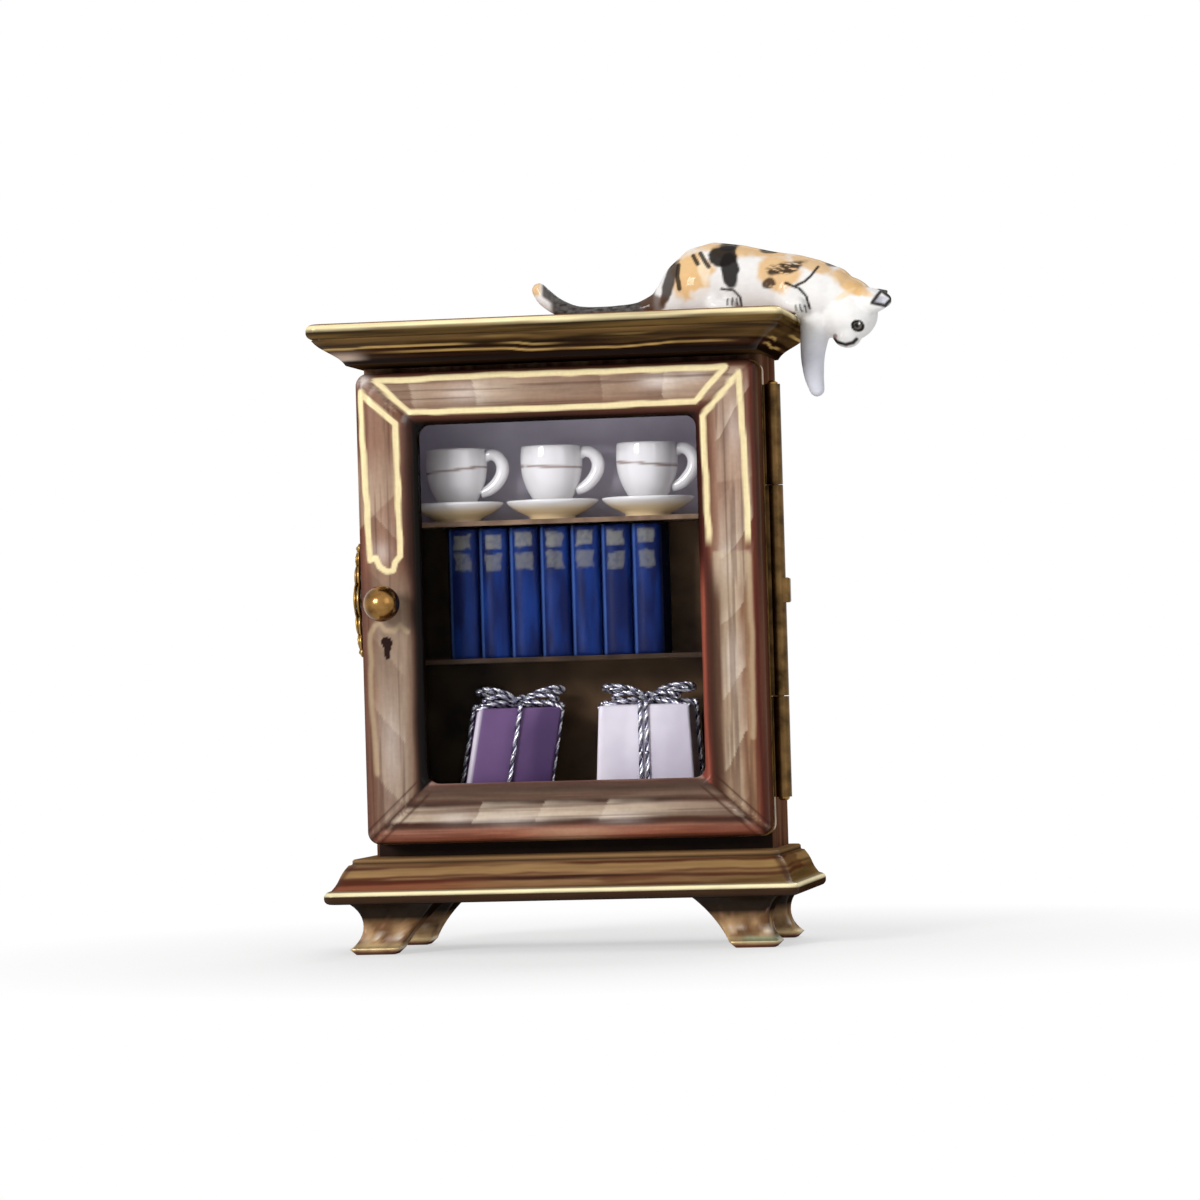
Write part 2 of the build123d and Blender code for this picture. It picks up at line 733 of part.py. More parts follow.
def make_cat():
    """The cat: lofted body, neck, head, ears, hanging arm, paws and tail."""
    sections = [
        Plane(origin=cat_point(x, 0, z), x_dir=(0, 1, 0), z_dir=(1, 0, 0)) * Ellipse(half_width, half_height)
        for x, z, half_height, half_width in body_stations
    ]
    cat = loft(sections, ruled=True)
    cat = cat + ball(cat_point(*head_centre), head_radius)
    cat = cat + ball(cat_point(*neck_centre), neck_radius)
    cat = cat + ball(cat_point(*muzzle_centre), muzzle_radius)
    for base, direction in ears:
        ear = Pos(0, 0, ear_length / 2) * Cone(ear_base_radius, ear_tip_radius, ear_length)
        cat = cat + Plane(origin=cat_point(*base), z_dir=direction).location * ear
    arm_points = [cat_point(x, 0, z) for x, z, radius in arm_stations]
    cat = cat + limb(arm_points, [station[2] for station in arm_stations])
    cat = cat + limb([cat_point(x, 0, z) for x, z in tail_points], tail_radii)
    for start, end, radius in (haunch, hind_paw, fore_paw):
        cat = cat + capsule(cat_point(*start), cat_point(*end), radius)
    reach = 2 * cornice_edge_x
    seat = block(-cornice_edge_x, cornice_edge_x, -reach, reach, cornice_bottom_z, cornice_top_z)
    return cat - seat


def write(name, shape):
    """Write one piece to its own file."""
    export_step(Pos(-frame_shift_x, -frame_shift_y, 0) * shape, os.path.join("parts", name + ".step"))


os.makedirs("parts", exist_ok=True)

write("case", make_case())
write("plinth", make_plinth())
write("cornice", make_cornice())
for end, end_name in ((-1, "front"), (1, "rear")):
    for side, side_name in ((-1, "left"), (1, "right")):
        write(f"foot_{end_name}_{side_name}", make_foot(side, end))
write("upper_shelf", make_shelf(upper_shelf_top_z))
write("lower_shelf", make_shelf(lower_shelf_top_z))

for number, side_name in enumerate(("left", "middle", "right")):
    x = cup_row_x + (number - (cup_count - 1) / 2) * cup_pitch
    write(f"cup_{side_name}", make_cup(x))
    write(f"saucer_{side_name}", make_saucer(x))
for number in range(book_count):
    write(f"book_{number + 1}", make_book(book_row_x + (number - (book_count - 1) / 2) * book_pitch))
for index, side_name in enumerate(("left", "right")):
    write(f"gift_box_{side_name}", make_gift(index))
    write(f"gift_cord_{side_name}", make_gift_cord(index))

lower_split_z = hinge_bottom_z + side_knuckle_length
upper_split_z = hinge_top_z - side_knuckle_length
write("case_bezel", make_case_bezel())
write("hinge_knuckle_lower", make_case_knuckle(hinge_bottom_z, lower_split_z - knuckle_gap / 2))
write("hinge_knuckle_upper", make_case_knuckle(upper_split_z + knuckle_gap / 2, hinge_top_z))
write("hinge_pin", make_hinge_pin())
write("clasp_stud", make_clasp_stud())

write("door_frame", make_door_frame())
write("door_bezel", bezel_ring(-bezel_back_y, -seam_gap))
write("door_knuckle", make_door_knuckle(lower_split_z + knuckle_gap / 2, upper_split_z - knuckle_gap / 2))
write("window_pane", make_pane())
write("pane_retainer", make_retainer())
write("door_knob", make_knob())
write("clasp_plate", make_clasp_plate())

write("cat_figure", make_cat())
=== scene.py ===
import math

import bmesh
import bpy
import numpy as np
from mathutils import Matrix, Vector


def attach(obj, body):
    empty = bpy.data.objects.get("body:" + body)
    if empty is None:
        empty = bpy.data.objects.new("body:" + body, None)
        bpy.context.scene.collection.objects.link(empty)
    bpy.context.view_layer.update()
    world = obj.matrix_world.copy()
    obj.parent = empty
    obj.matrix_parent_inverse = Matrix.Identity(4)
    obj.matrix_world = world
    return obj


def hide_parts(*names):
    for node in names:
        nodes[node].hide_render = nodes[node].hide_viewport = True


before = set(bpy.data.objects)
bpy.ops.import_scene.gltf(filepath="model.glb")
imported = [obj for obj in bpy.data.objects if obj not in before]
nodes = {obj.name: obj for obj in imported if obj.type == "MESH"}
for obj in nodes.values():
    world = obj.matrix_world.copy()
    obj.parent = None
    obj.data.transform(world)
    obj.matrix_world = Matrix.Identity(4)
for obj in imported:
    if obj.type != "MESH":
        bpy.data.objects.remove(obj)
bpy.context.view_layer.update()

# Drawing units are millimetres from a point on the floor, midway between the case's sides, in the seam
# between case and door. SHIFT takes them to the row frame.
SHIFT = np.array((7, 2.3, 0))


def metres(points):
    return (np.asarray(points, float) - SHIFT) / 1000


def millimetres(points):
    return np.asarray(points, float) * 1000 + SHIFT


def srgb(*rgb):
    """A linear colour from 0 to 255 display values."""
    c = np.array(rgb, float) / 255
    return np.where(c <= 0.04045, c / 12.92, ((c + 0.055) / 1.055) ** 2.4)


# ---- seeded value noise, for painting by vertex ----


def at(*parts):
    """Points from coordinates, each an array or one number for all."""
    return np.stack(np.broadcast_arrays(*parts), 1)


def lattice(i, seed):
    """A value from 0 to 1 for each whole-numbered point."""
    h = i[..., 0] * 374761393 + i[..., 1] * 668265263 + i[..., 2] * 2147483647 + seed * 974634777
    h = (h ^ (h >> 13)) * 1274126177
    h = h ^ (h >> 16)
    return (h & 0xFFFFFF) / float(0xFFFFFF)


def noise(p, seed):
    i = np.floor(p).astype(np.int64)
    f = p - i
    u = f * f * (3 - 2 * f)
    total = 0
    for corner in np.ndindex(2, 2, 2):
        w = np.where(corner, u, 1 - u)
        total = total + w[:, 0] * w[:, 1] * w[:, 2] * lattice(i + np.array(corner), seed)
    return total


def fbm(p, seed, octaves=3):
    total, size, amount = 0, 1, 0.5
    for k in range(octaves):
        total = total + amount * noise(p * size, seed + 17 * k)
        size, amount = size * 2.03, amount * 0.5
    return total / (1 - 0.5**octaves)


def step(x, a, b):
    """0 below a, 1 above b, smooth between."""
    t = np.clip((x - a) / (b - a), 0, 1)
    return t * t * (3 - 2 * t)


def fall(x, a, b):
    """1 below a, 0 above b, smooth between."""
    return 1 - step(x, a, b)


def band(x, a, b, c, d):
    """Rises from a to b and falls from c to d."""
    return step(x, a, b) * fall(x, c, d)


def near_line(x, z, line, width, soft=0.12):
    """1 on a polyline of (x, z) points, falling to 0 at half its width."""
    best = np.full(len(x), 1e9)
    for (x0, z0), (x1, z1) in zip(line[:-1], line[1:]):
        dx, dz = x1 - x0, z1 - z0
        t = np.clip(((x - x0) * dx + (z - z0) * dz) / (dx * dx + dz * dz), 0, 1)
        best = np.minimum(best, np.hypot(x - x0 - t * dx, z - z0 - t * dz))
    return fall(best, width / 2 - soft, width / 2 + soft)


def mix(a, b, t):
    t = np.asarray(t)[:, None]
    return a * (1 - t) + b * t


def lay(colour, *layers):
    """Paint over colours with layers, each a display colour and how much of it shows."""
    for rgb, amount in layers:
        colour[:] = mix(colour, srgb(*rgb), amount)


# ---- materials ----
BUMP_DEPTH = 0.0001


def plug(tree, node, inputs):
    """Give a node's inputs values, or link them to outputs."""
    for socket, value in inputs.items():
        if isinstance(value, bpy.types.NodeSocket):
            tree.links.new(value, node.inputs[socket])
        else:
            node.inputs[socket].default_value = value


def add(tree, kind, inputs, output=0, **settings):
    """The output of a new node."""
    node = tree.nodes.new("ShaderNode" + kind)
    for name, value in settings.items():
        setattr(node, name, value)
    plug(tree, node, inputs)
    return node.outputs[output]


def new_material(name):
    material = bpy.data.materials.new(name)
    material.use_nodes = True
    tree = material.node_tree
    return material, tree, tree.nodes["Principled BSDF"]


def surface(tree, output, node="Material Output"):
    tree.links.new(output, tree.nodes[node].inputs["Surface"])


def add_noise(tree, scale, detail, stretch=(1, 1, 1)):
    """Noise in object coordinates, in features per metre."""
    place = add(tree, "TexCoord", {}, "Object")
    place = add(tree, "Mapping", {"Scale": stretch, "Vector": place})
    return add(tree, "TexNoise", {"Scale": scale, "Detail": detail, "Vector": place}, "Fac")


def ramp(tree, source, *colours, places=(0.3, 0.7)):
    node = tree.nodes.new("ShaderNodeValToRGB")
    bar = node.color_ramp.elements
    bar.remove(bar[1])
    for index, (place, colour) in enumerate(zip(places, colours)):
        element = bar.new(place) if index else bar[0]
        element.position = place
        element.color = (*colour, 1)
    tree.links.new(source, node.inputs["Fac"])
    return node.outputs["Color"]


def map_range(tree, source, low, high, start=0, end=1):
    """Goes from low to high while the source goes from start to end."""
    inputs = {"Value": source, "From Min": start, "From Max": end, "To Min": low, "To Max": high}
    return add(tree, "MapRange", inputs)


def scaled(tree, colour, factor):
    return add(tree, "VectorMath", {0: colour, "Scale": factor}, operation="SCALE")


def blend(tree, base, colour, factor):
    return add(tree, "Mix", {"Factor": factor, "A": base, "B": colour}, "Result", data_type="RGBA")


def add_bump(tree, shader, source, strength):
    normal = add(tree, "Bump", {"Strength": strength, "Distance": BUMP_DEPTH, "Height": source})
    plug(tree, shader, {"Normal": normal})


def turned_away(tree, start, end, low, high):
    """Goes from low to high as the surface turns away from the viewer."""
    facing = add(tree, "LayerWeight", {"Blend": 0.5}, "Facing")
    return map_range(tree, facing, low, high, start, end)


def fading_gloss(tree, shader, shine):
    """Gloss that fades as the surface turns away. The socket's own value serves an export that drops the link."""
    for value in (shine, turned_away(tree, 0.35, 0.72, shine, 0)):
        plug(tree, shader, {"Specular IOR Level": value})


def painted(tree):
    return add(tree, "Attribute", {}, "Color", attribute_name="paint")


def glaze(name, roughness, grain, spread, bump, shine, stretch=(1, 1, 1), coat=0):
    """Glazed porcelain that shows the colours painted on the mesh."""
    material, tree, shader = new_material(name)
    texture = add_noise(tree, grain, 5, stretch)
    gilt = add(tree, "Attribute", {}, "Fac", attribute_name="gilt")
    plug(tree, shader, {
        "Base Color": scaled(tree, painted(tree), map_range(tree, texture, 1 - spread, 1 + spread)),
        "Metallic": gilt,
        "Roughness": map_range(tree, gilt, roughness, roughness + 0.2),
        "IOR": 1.45,
        "Coat Weight": coat,
        "Coat Roughness": 0.06,
    })
    fading_gloss(tree, shader, shine)
    add_bump(tree, shader, texture, bump)
    return material


def metal(name, dark, light, roughness, scale, bump):
    """Worn metal: tarnish in patches and a faint hammered surface."""
    material, tree, shader = new_material(name)
    texture = add_noise(tree, scale, 6)
    plug(tree, shader, {
        "Base Color": ramp(tree, texture, srgb(*dark), srgb(*light), places=(0.32, 0.62)),
        "Roughness": map_range(tree, texture, roughness + 0.12, roughness),
        "Metallic": 1,
    })
    add_bump(tree, shader, texture, bump)
    return material


brass = metal("brass_antique", (112, 86, 44), (164, 132, 76), 0.24, 260, 0.06)
brass_dark = metal("brass_dark", (84, 62, 34), (150, 116, 62), 0.3, 300, 0.06)
hinge_brass = metal("brass_hinge", (52, 38, 22), (112, 86, 52), 0.32, 320, 0.08)
knob_brass = metal("brass_knob", (88, 62, 30), (156, 116, 66), 0.16, 420, 0.1)
silver, tree, shader = new_material("silver_thread")
fibres = add_noise(tree, 2500, 4)
plug(tree, shader, {
    "Base Color": scaled(tree, painted(tree), map_range(tree, fibres, 0.75, 1.25)),
    "Roughness": map_range(tree, fibres, 0.18, 0.4),
    "Metallic": 0.75,
})
add_bump(tree, shader, fibres, 0.4)

# ---- mesh helpers ----


def in_scene(name, data):
    """A new object in the scene."""
    thing = bpy.data.objects.new(name, data)
    bpy.context.scene.collection.objects.link(thing)
    return thing


def circle(count, closed=False):
    """Angles once round, and the end as well where it closes."""
    return [2 * math.pi * k / count for k in range(count + closed)]


def ring_faces(rows, n, first=True, last=True):
    """Quads between rows of n points each, and a face over either end."""
    faces = []
    for a in range(0, (rows - 1) * n, n):
        faces.extend((a + i, a + (i + 1) % n, a + n + (i + 1) % n, a + n + i) for i in range(n))
    if first:
        faces.append(tuple(range(n)))
    if last:
        faces.append(tuple(range((rows - 1) * n, rows * n)))
    return faces


def mesh_object(name, points, faces, material, body, slot, weld=False):
    """A smooth piece with its faces turned outwards, riding on a body."""
    mesh = bpy.data.meshes.new(name)
    mesh.from_pydata([tuple(p) for p in metres(points)], [], faces)
    mesh.update()
    piece = in_scene(name, mesh)
    mesh.polygons.foreach_set("use_smooth", [True] * len(mesh.polygons))
    mesh.materials.append(material)
    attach(piece, body)
    work = bmesh.new()
    work.from_mesh(mesh)
    if weld:
        bmesh.ops.remove_doubles(work, verts=work.verts, dist=1e-7)
    bmesh.ops.recalc_face_normals(work, faces=work.faces)
    work.to_mesh(mesh)
    work.free()
    return piece


class Parts:
    """Closed shapes gathered for one mesh."""

    def __init__(self):
        self.points, self.faces = [], []

    def add(self, points, faces):
        start = len(self.points)
        self.points.extend(points)
        self.faces.extend(tuple(i + start for i in f) for f in faces)


def vertex_mm(piece):
    flat = np.empty(len(piece.data.vertices) * 3)
    piece.data.vertices.foreach_get("co", flat)
    return millimetres(flat.reshape(-1, 3))


def paint(piece, colours, gilt=0):
    """Store colours, and how much of them is gilding, on the vertices."""
    count = len(piece.data.vertices)
    layer = piece.data.color_attributes.new("paint", "FLOAT_COLOR", "POINT")
    rgba = np.ones((count, 4))
    rgba[:, :3] = np.clip(colours, 0, 1)
    layer.data.foreach_set("color", rgba.ravel())
    level = piece.data.attributes.new("gilt", "FLOAT", "POINT")
    level.data.foreach_set("value", np.zeros(count) + np.clip(gilt, 0, 1))


def rounded_ring(x_low, x_high, y_low, y_high, corner, per_x, per_y, per_corner=8):
    """Points round a rounded rectangle, the same number on every ring."""
    centres = [(x, y) for x, y in (
        (x_high - corner, y_low + corner), (x_high - corner, y_high - corner),
        (x_low + corner, y_high - corner), (x_low + corner, y_low + corner),
    )]

    def on_corner(index, degrees):
        a = math.radians(degrees)
        cx, cy = centres[index % 4]
        return cx + corner * math.cos(a), cy + corner * math.sin(a)

    points = []
    for index in range(4):
        start = 90 * index - 90
        points += [on_corner(index, start + 90 * k / per_corner) for k in range(per_corner + 1)]
        (x0, y0), (x1, y1) = points[-1], on_corner(index + 1, start + 90)
        count = per_x if index % 2 else per_y
        points += [(x0 + (x1 - x0) * k / count, y0 + (y1 - y0) * k / count) for k in range(1, count)]
    return np.array(points)


def in_plane(flat, axis, place):
    """Flat points in space, with the same coordinate on one axis."""
    return np.insert(flat, axis, place, axis=1)


def stack(name, rings, material, body, slot, close_ends=True, cap_rings=3):
    """A closed skin over rings of points, one after another."""
    rings = [np.asarray(r, float) for r in rings]
    if close_ends:
        low, high = rings[0], rings[-1]
        for share in np.linspace(1, 0.02, cap_rings + 1)[1:]:
            rings.insert(0, low.mean(0) + (low - low.mean(0)) * share)
            rings.append(high.mean(0) + (high - high.mean(0)) * share)
    faces = ring_faces(len(rings), len(rings[0]), close_ends, close_ends)
    return mesh_object(name, np.vstack(rings), faces, material, body, slot)


def lathe(name, profile, centre, material, body, slot, count=96, forward=False):
    """Turn (radius, height) pairs about an upright axis, or one towards -Y."""
    angles = np.linspace(0, 2 * math.pi, count, endpoint=False)
    rings = []
    for radius, height in profile:
        a, b, h = radius * np.cos(angles), radius * np.sin(angles), np.full(count, height)
        rings.append(np.stack([a, -h, b] if forward else [a, b, h], 1))
    faces = ring_faces(len(profile), count, profile[0][0] > 0, profile[-1][0] > 0)
    return mesh_object(name, np.vstack(rings) + np.array(centre), faces, material, body, slot, weld=True)


def smooth_curve(points, count):
    """Points along a Catmull-Rom curve through the given ones."""
    points = np.asarray(points, float)
    ends = np.vstack([2 * points[0] - points[1], points, 2 * points[-1] - points[-2]])
    out = []
    spans = len(points) - 1
    for s in np.linspace(0, spans, count):
        k = min(int(s), spans - 1)
        t = s - k
        a, b, c, d = ends[k : k + 4]
        out.append(0.5 * (2 * b + (c - a) * t + (2 * a - 5 * b + 4 * c - d) * t**2 + (3 * b - a - 3 * c + d) * t**3))
    return np.array(out)


def side_vectors(path, guess):
    """Two directions across a path that turn with it, at each of its points."""
    tangent = np.gradient(path, axis=0)
    tangent /= np.linalg.norm(tangent, axis=1)[:, None]
    side = np.cross(tangent[0], guess)
    sides = []
    for direction in tangent:
        side = side - direction * (side @ direction)
        side = side / np.linalg.norm(side)
        sides.append(side)
    return np.array(sides), np.cross(tangent, sides)


def tube_arrays(path, radii, sides=10):
    """Vertices and faces of a tube along a path."""
    path = np.asarray(path, float)
    radii = np.broadcast_to(radii, len(path))
    across, other = side_vectors(path, (0.31, 0.87, 0.38))
    points = []
    for centre, radius, u, v in zip(path, radii, across, other):
        points.extend(centre + radius * (math.cos(a) * u + math.sin(a) * v) for a in circle(sides))
    return points, ring_faces(len(path), sides)


# ---- door frame ----
DOOR = dict(half=29.6, low=15.7, high=84.4, corner=1.8)
WIN = dict(half=20.45, low=24.3, high=76.6, corner=1.7)
RABBET = dict(half=22.6, low=22.8, high=78.7, corner=1)
DOOR_FRONT, DOOR_BACK, RABBET_FLOOR = -5.8, -0.8, -4
SIDE, RAIL_TOP, RAIL_LOW = 9.15, 7.8, 8.6


def upright_ring(half, low, high, corner):
    return rounded_ring(-half, half, low, high, corner, 190, 250)


WIN_RING, DOOR_RING = upright_ring(**WIN), upright_ring(**DOOR)


def frame_ring(t, y):
    """A ring of the door frame: t runs from the window's edge, 0, to the outer edge, 1."""
    return in_plane(WIN_RING + (DOOR_RING - WIN_RING) * t, 1, y)


def frame_depth(t):
    """The moulded front of the door: a rolled outer edge, shallow dips and a slope to the window."""
    outer = np.clip((t - 0.87) / 0.13, 0, 1)
    inner = np.clip((0.1 - t) / 0.1, 0, 1)
    dip = 0.16 * math.exp(-(((t - 0.3) / 0.09) ** 2)) + 0.1 * math.exp(-(((t - 0.8) / 0.05) ** 2))
    return DOOR_FRONT + dip + 1.1 * (1 - math.sqrt(max(1 - outer**2, 0))) + 0.85 * inner**1.4


rings = [frame_ring(0, y) for y in (RABBET_FLOOR, -4.5)]
for t in np.concatenate([np.linspace(0, 0.1, 6), np.linspace(0.13, 0.85, 32), np.linspace(0.87, 1, 9)]):
    rings.append(frame_ring(t, frame_depth(t)))
rings += [frame_ring(1, y) for y in (-4, -3, -1.8, DOOR_BACK)]
rings += [in_plane(upright_ring(**RABBET), 1, y) for y in (DOOR_BACK, RABBET_FLOOR)]
rings.append(rings[0])
door_paint = glaze("door_painted_glaze", 0.18, 1500, 0.12, 0.16, 0.1)
door_skin = stack("door_frame_painted", rings, door_paint, "door", "case_glaze", close_ends=False)
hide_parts("door_frame")

GOLD_LINES = (
    ((-26.5, 83.2), (-10, 83.45), (8, 83.3), (25.1, 83.4), (20.6, 78.5), (0, 78.3), (-21.6, 78.5), (-26.5, 83.2)),
    ((-28.7, 81.6), (-28.5, 72), (-28.2, 64), (-27.9, 57.2)),
    ((-28.7, 81.6), (-26, 79), (-23.7, 76.9), (-23.5, 68), (-23.5, 57.6)),
    ((-27.9, 57.2), (-27, 57.5), (-26.5, 56.2), (-25.4, 55.4), (-24.5, 55.6), (-24.2, 56.8), (-23.5, 57.6)),
    ((27, 82.5), (27.3, 74), (27.6, 65), (27.8, 56)),
    ((27, 82.5), (24.2, 79.2), (21.6, 76.4), (21.8, 66), (22.1, 56)),
)
BEIGE_LINES = (
    ((-28.2, 46.4), (-27.6, 47.6), (-26.8, 47.9), (-26, 46.9), (-24.6, 46.8), (-23.7, 47.6), (-22.6, 46.6)),
    ((-28.2, 46.4), (-28.3, 36), (-27.8, 26)),
    ((27.8, 56), (27.9, 44), (27.6, 30)),
)

# Colours across each side of the frame: share from the window's edge outwards, red, green, blue.
# On the top rail and the stiles, the near-black and dark brown stops by the window's edge are painted shade of the
# window's reveal.
TOP_RAIL = (
    (0, 14, 7, 5), (0.04, 28, 14, 10), (0.08, 56, 29, 20), (0.16, 76, 44, 32), (0.23, 98, 66, 50),
    (0.3, 132, 102, 84), (0.42, 156, 130, 110), (0.66, 162, 138, 118), (0.8, 150, 122, 103), (0.89, 112, 74, 56),
    (1, 66, 36, 27),
)
LEFT_UPPER = (
    (0, 7, 4, 3), (0.07, 15, 9, 6), (0.11, 38, 20, 14), (0.2, 58, 33, 24), (0.28, 98, 65, 50), (0.42, 134, 100, 82),
    (0.56, 146, 114, 95), (0.78, 138, 104, 86), (0.92, 116, 72, 56), (1, 88, 50, 39),
)
LEFT_LOWER = (
    (0, 8, 5, 4), (0.09, 18, 11, 8), (0.14, 56, 36, 28), (0.21, 116, 92, 76), (0.34, 150, 130, 112),
    (0.72, 150, 128, 110), (0.86, 116, 84, 68), (1, 84, 52, 42),
)
RIGHT_UPPER = (
    (0, 30, 12, 9), (0.1, 72, 26, 20), (0.16, 96, 48, 36), (0.24, 122, 88, 70), (0.36, 146, 116, 98),
    (0.6, 152, 124, 106), (0.74, 140, 108, 88), (0.8, 116, 68, 50), (0.9, 92, 44, 32), (0.96, 66, 36, 26),
    (1, 84, 56, 36),
)
RIGHT_LOWER = (
    (0, 120, 58, 48), (0.06, 152, 80, 62), (0.11, 76, 36, 28), (0.18, 62, 38, 28), (0.28, 92, 66, 50),
    (0.36, 150, 126, 102), (0.58, 166, 142, 118), (0.67, 122, 88, 66), (0.76, 150, 118, 90), (0.85, 104, 56, 40),
    (0.91, 74, 32, 24), (1, 96, 60, 42),
)
BOTTOM_RAIL = (
    (0, 158, 122, 110), (0.03, 96, 70, 60), (0.12, 74, 55, 46), (0.27, 112, 90, 76), (0.36, 56, 38, 30),
    (0.42, 160, 140, 122), (0.62, 176, 158, 138), (0.67, 52, 32, 24), (0.73, 74, 46, 36), (0.79, 146, 100, 82),
    (0.92, 146, 88, 68), (1, 78, 42, 32),
)
# Painted highlights on the glaze, partly pale paint: x, z, half width, half height, strength.
PAINTED_HIGHLIGHTS = (
    (15.5, 81.6, 3, 1, 0.6), (20.5, 82.2, 2, 0.8, 0.4), (-28.3, 83.4, 1, 1, 0.7), (26.2, 74, 1.2, 4, 0.3),
    (-8, 19, 5, 0.9, 0.35), (8, 18.9, 3.5, 0.8, 0.45), (-16.5, 19.3, 2.5, 0.8, 0.4), (25, 41, 1.1, 5, 0.35),
    (-25.5, 30, 1.4, 6, 0.3), (-26.3, 58.2, 1.4, 1.6, 0.35), (-13, 80.9, 3, 1.4, 0.4), (24.8, 55, 1.4, 2.4, 0.4),
)


def across_colours(stops, t):
    stops = np.array(stops, float)
    return np.stack([np.interp(t, stops[:, 0], stops[:, k]) for k in (1, 2, 3)], 1)


def door_colours(p):
    x, y, z = p.T
    up, down = (z - WIN["high"]) / RAIL_TOP, (WIN["low"] - z) / RAIL_LOW
    left, right = (-WIN["half"] - x) / SIDE, (x - WIN["half"]) / SIDE
    reach = np.stack([up, right, down, left])
    member = reach.argmax(0)
    is_top, is_right, is_low, is_left = ((member == k) * 1 for k in range(4))
    t = np.clip(reach.max(0), 0, 1)
    level = (member == 0) | (member == 2)
    along, across = np.where(level, x, z), np.where(level, z, x)
    grain = fbm(at(along * 0.07, across * 1.3, member * 7), 3, 4)
    fine = fbm(at(along * 0.35, across * 4, member * 3), 11)
    t_waver = np.clip(t + 0.05 * (fbm(at(along * 0.12, member * 9, 0), 15, 2) - 0.5), 0, 1)
    upper = step(z, 50, 58)
    lower_right = is_right * (1 - upper)
    colour = 0
    for flag, high, low in (
        (is_top, TOP_RAIL, TOP_RAIL), (is_low, BOTTOM_RAIL, BOTTOM_RAIL),
        (is_left, LEFT_UPPER, LEFT_LOWER), (is_right, RIGHT_UPPER, RIGHT_LOWER),
    ):
        colour = colour + flag[:, None] * mix(across_colours(low, t_waver), across_colours(high, t_waver), upper)
    colour = srgb(*colour.T).T
    # patches laid side by side, with slanting and curved joints
    bend = np.sin(across * 0.5 + member * 2) + 3 * (noise(at(across * 0.3, along * 0.04, member * 5), 23) - 0.5)
    slant = np.where(level, 0.25, -0.9)
    cell = (along + slant * np.abs(across) + bend + 0.2 * is_low * (across - 22) ** 2 + 3 * member) / 9.4
    index = np.floor(cell).astype(np.int64)
    rest = cell - index
    tone = lattice(at(index, member * 13, 4), 31)
    field = step(t, 0.3, 0.36)
    field = field * fall(t, 0.84 - 0.18 * is_low - 0.16 * lower_right, 0.9 - 0.2 * is_low - 0.2 * lower_right)
    lift = (tone - 0.5) * 0.8 + 0.2 * fall(rest, 0, 0.3) - 0.26 * step(rest, 0.4, 1)
    lift = lift * (1 - 0.55 * is_left * upper)
    # dark strokes at the mitre joints, and a pale one beside them
    gap = np.sort(reach, 0)
    apart = gap[-1] - gap[-2]
    joint = fall(np.abs(apart - 0.03 * fine), 0, 0.06) + 0.8 * fall(np.abs(apart - 0.2), 0, 0.045) * (1 - upper)
    whitish = fall(np.abs(apart - 0.1), 0, 0.04) * (1 - upper) * step(t, 0.4, 0.5)
    lay(
        colour,
        ((206, 190, 170), np.clip(lift, 0, 1) * field),
        ((96, 64, 50), np.clip(-lift, 0, 1) * 0.9 * field),
        ((58, 32, 23), np.clip(joint * step(t, 0.1, 0.2) * (0.95 - 0.55 * upper), 0, 1)),
        ((196, 178, 160), 0.4 * whitish * fine),
    )
    # painted highlights on the door's front
    for cx, cz, rx, rz, amount in PAINTED_HIGHLIGHTS:
        lay(colour, ((226, 214, 206), amount * np.exp(-(((x - cx) / rx) ** 2) - ((z - cz) / rz) ** 2)))
    low_band = is_low * step(t, 0.76, 0.82)
    left_field = step(z - 0.9 * (x + 28.8), 62, 62.5) * fall(z, 68, 75)
    lay(
        colour,
        # a lighter field high on the left stile, and two on the right one
        ((184, 160, 138), 0.5 * left_field * is_left * step(t, 0.3, 0.4)),
        ((178, 152, 132), 0.4 * step(z - 0.12 * (x - 22), 66.4, 66.7) * fall(z, 70, 76) * is_right * field),
        ((190, 170, 144), 0.55 * band(z, 49, 56, 56.6, 57) * is_right * band(t, 0.2, 0.26, 0.78, 0.84)),
        # the lower edge of the lower rail
        ((176, 140, 112), 0.55 * low_band * np.exp(-(((x - 1) / 6) ** 2))),
        ((100, 48, 34), 0.6 * low_band * step(x, 12, 20)),
        ((104, 56, 38), 0.5 * low_band * step(grain, 0.48, 0.66)),
    )
    # streaks of the brush
    colour = colour * (0.74 + 0.52 * grain)[:, None] * (0.86 + 0.28 * fine)[:, None]
    thread = step(fbm(at(along * 0.05, across * 2.6, member * 4), 37, 2), 0.6, 0.72)
    lay(colour, ((70, 38, 28), 0.45 * thread * step(t, 0.1, 0.3)))
    front = step(-y, 2.6, 4.6)
    colour = mix(srgb(86, 50, 38) * (0.7 + 0.6 * grain)[:, None], colour, front)
    key = (((x + 25.8) / 0.85) ** 2 + ((z - 45.1) / 0.75) ** 2) < 1
    key = key | ((np.abs(x + 25.75) < 0.35 + 0.16 * (z - 43)) & (z > 42.7) & (z < 45))
    wob_x = x + 0.22 * (noise(at(x * 0.4, z * 0.4, 0), 41) - 0.5)
    wob_z = z + 0.22 * (noise(at(x * 0.4, z * 0.4, 9), 43) - 0.5)
    gold = np.max([near_line(wob_x, wob_z, line, 0.84) for line in GOLD_LINES], 0)
    gold = gold * front * step(z, 57.2 - 2.6 * is_left, 59.4 - 4 * is_left)
    soft = np.max([near_line(wob_x, wob_z, line, 0.7, 0.25) for line in BEIGE_LINES], 0)
    lay(
        colour,
        ((34, 16, 12), key * front),
        ((186, 164, 132), 0.6 * soft * front),
        ((238, 221, 172), gold * (0.86 + 0.14 * fine)),
    )
    return colour, 0.04 * gold


paint(door_skin, *door_colours(vertex_mm(door_skin)))

# ---- cornice, plinth and feet ----


def level_ring(half, front, back, corner, z):
    return in_plane(rounded_ring(-half, half, front, back, corner, 230, 110, 6), 2, z)


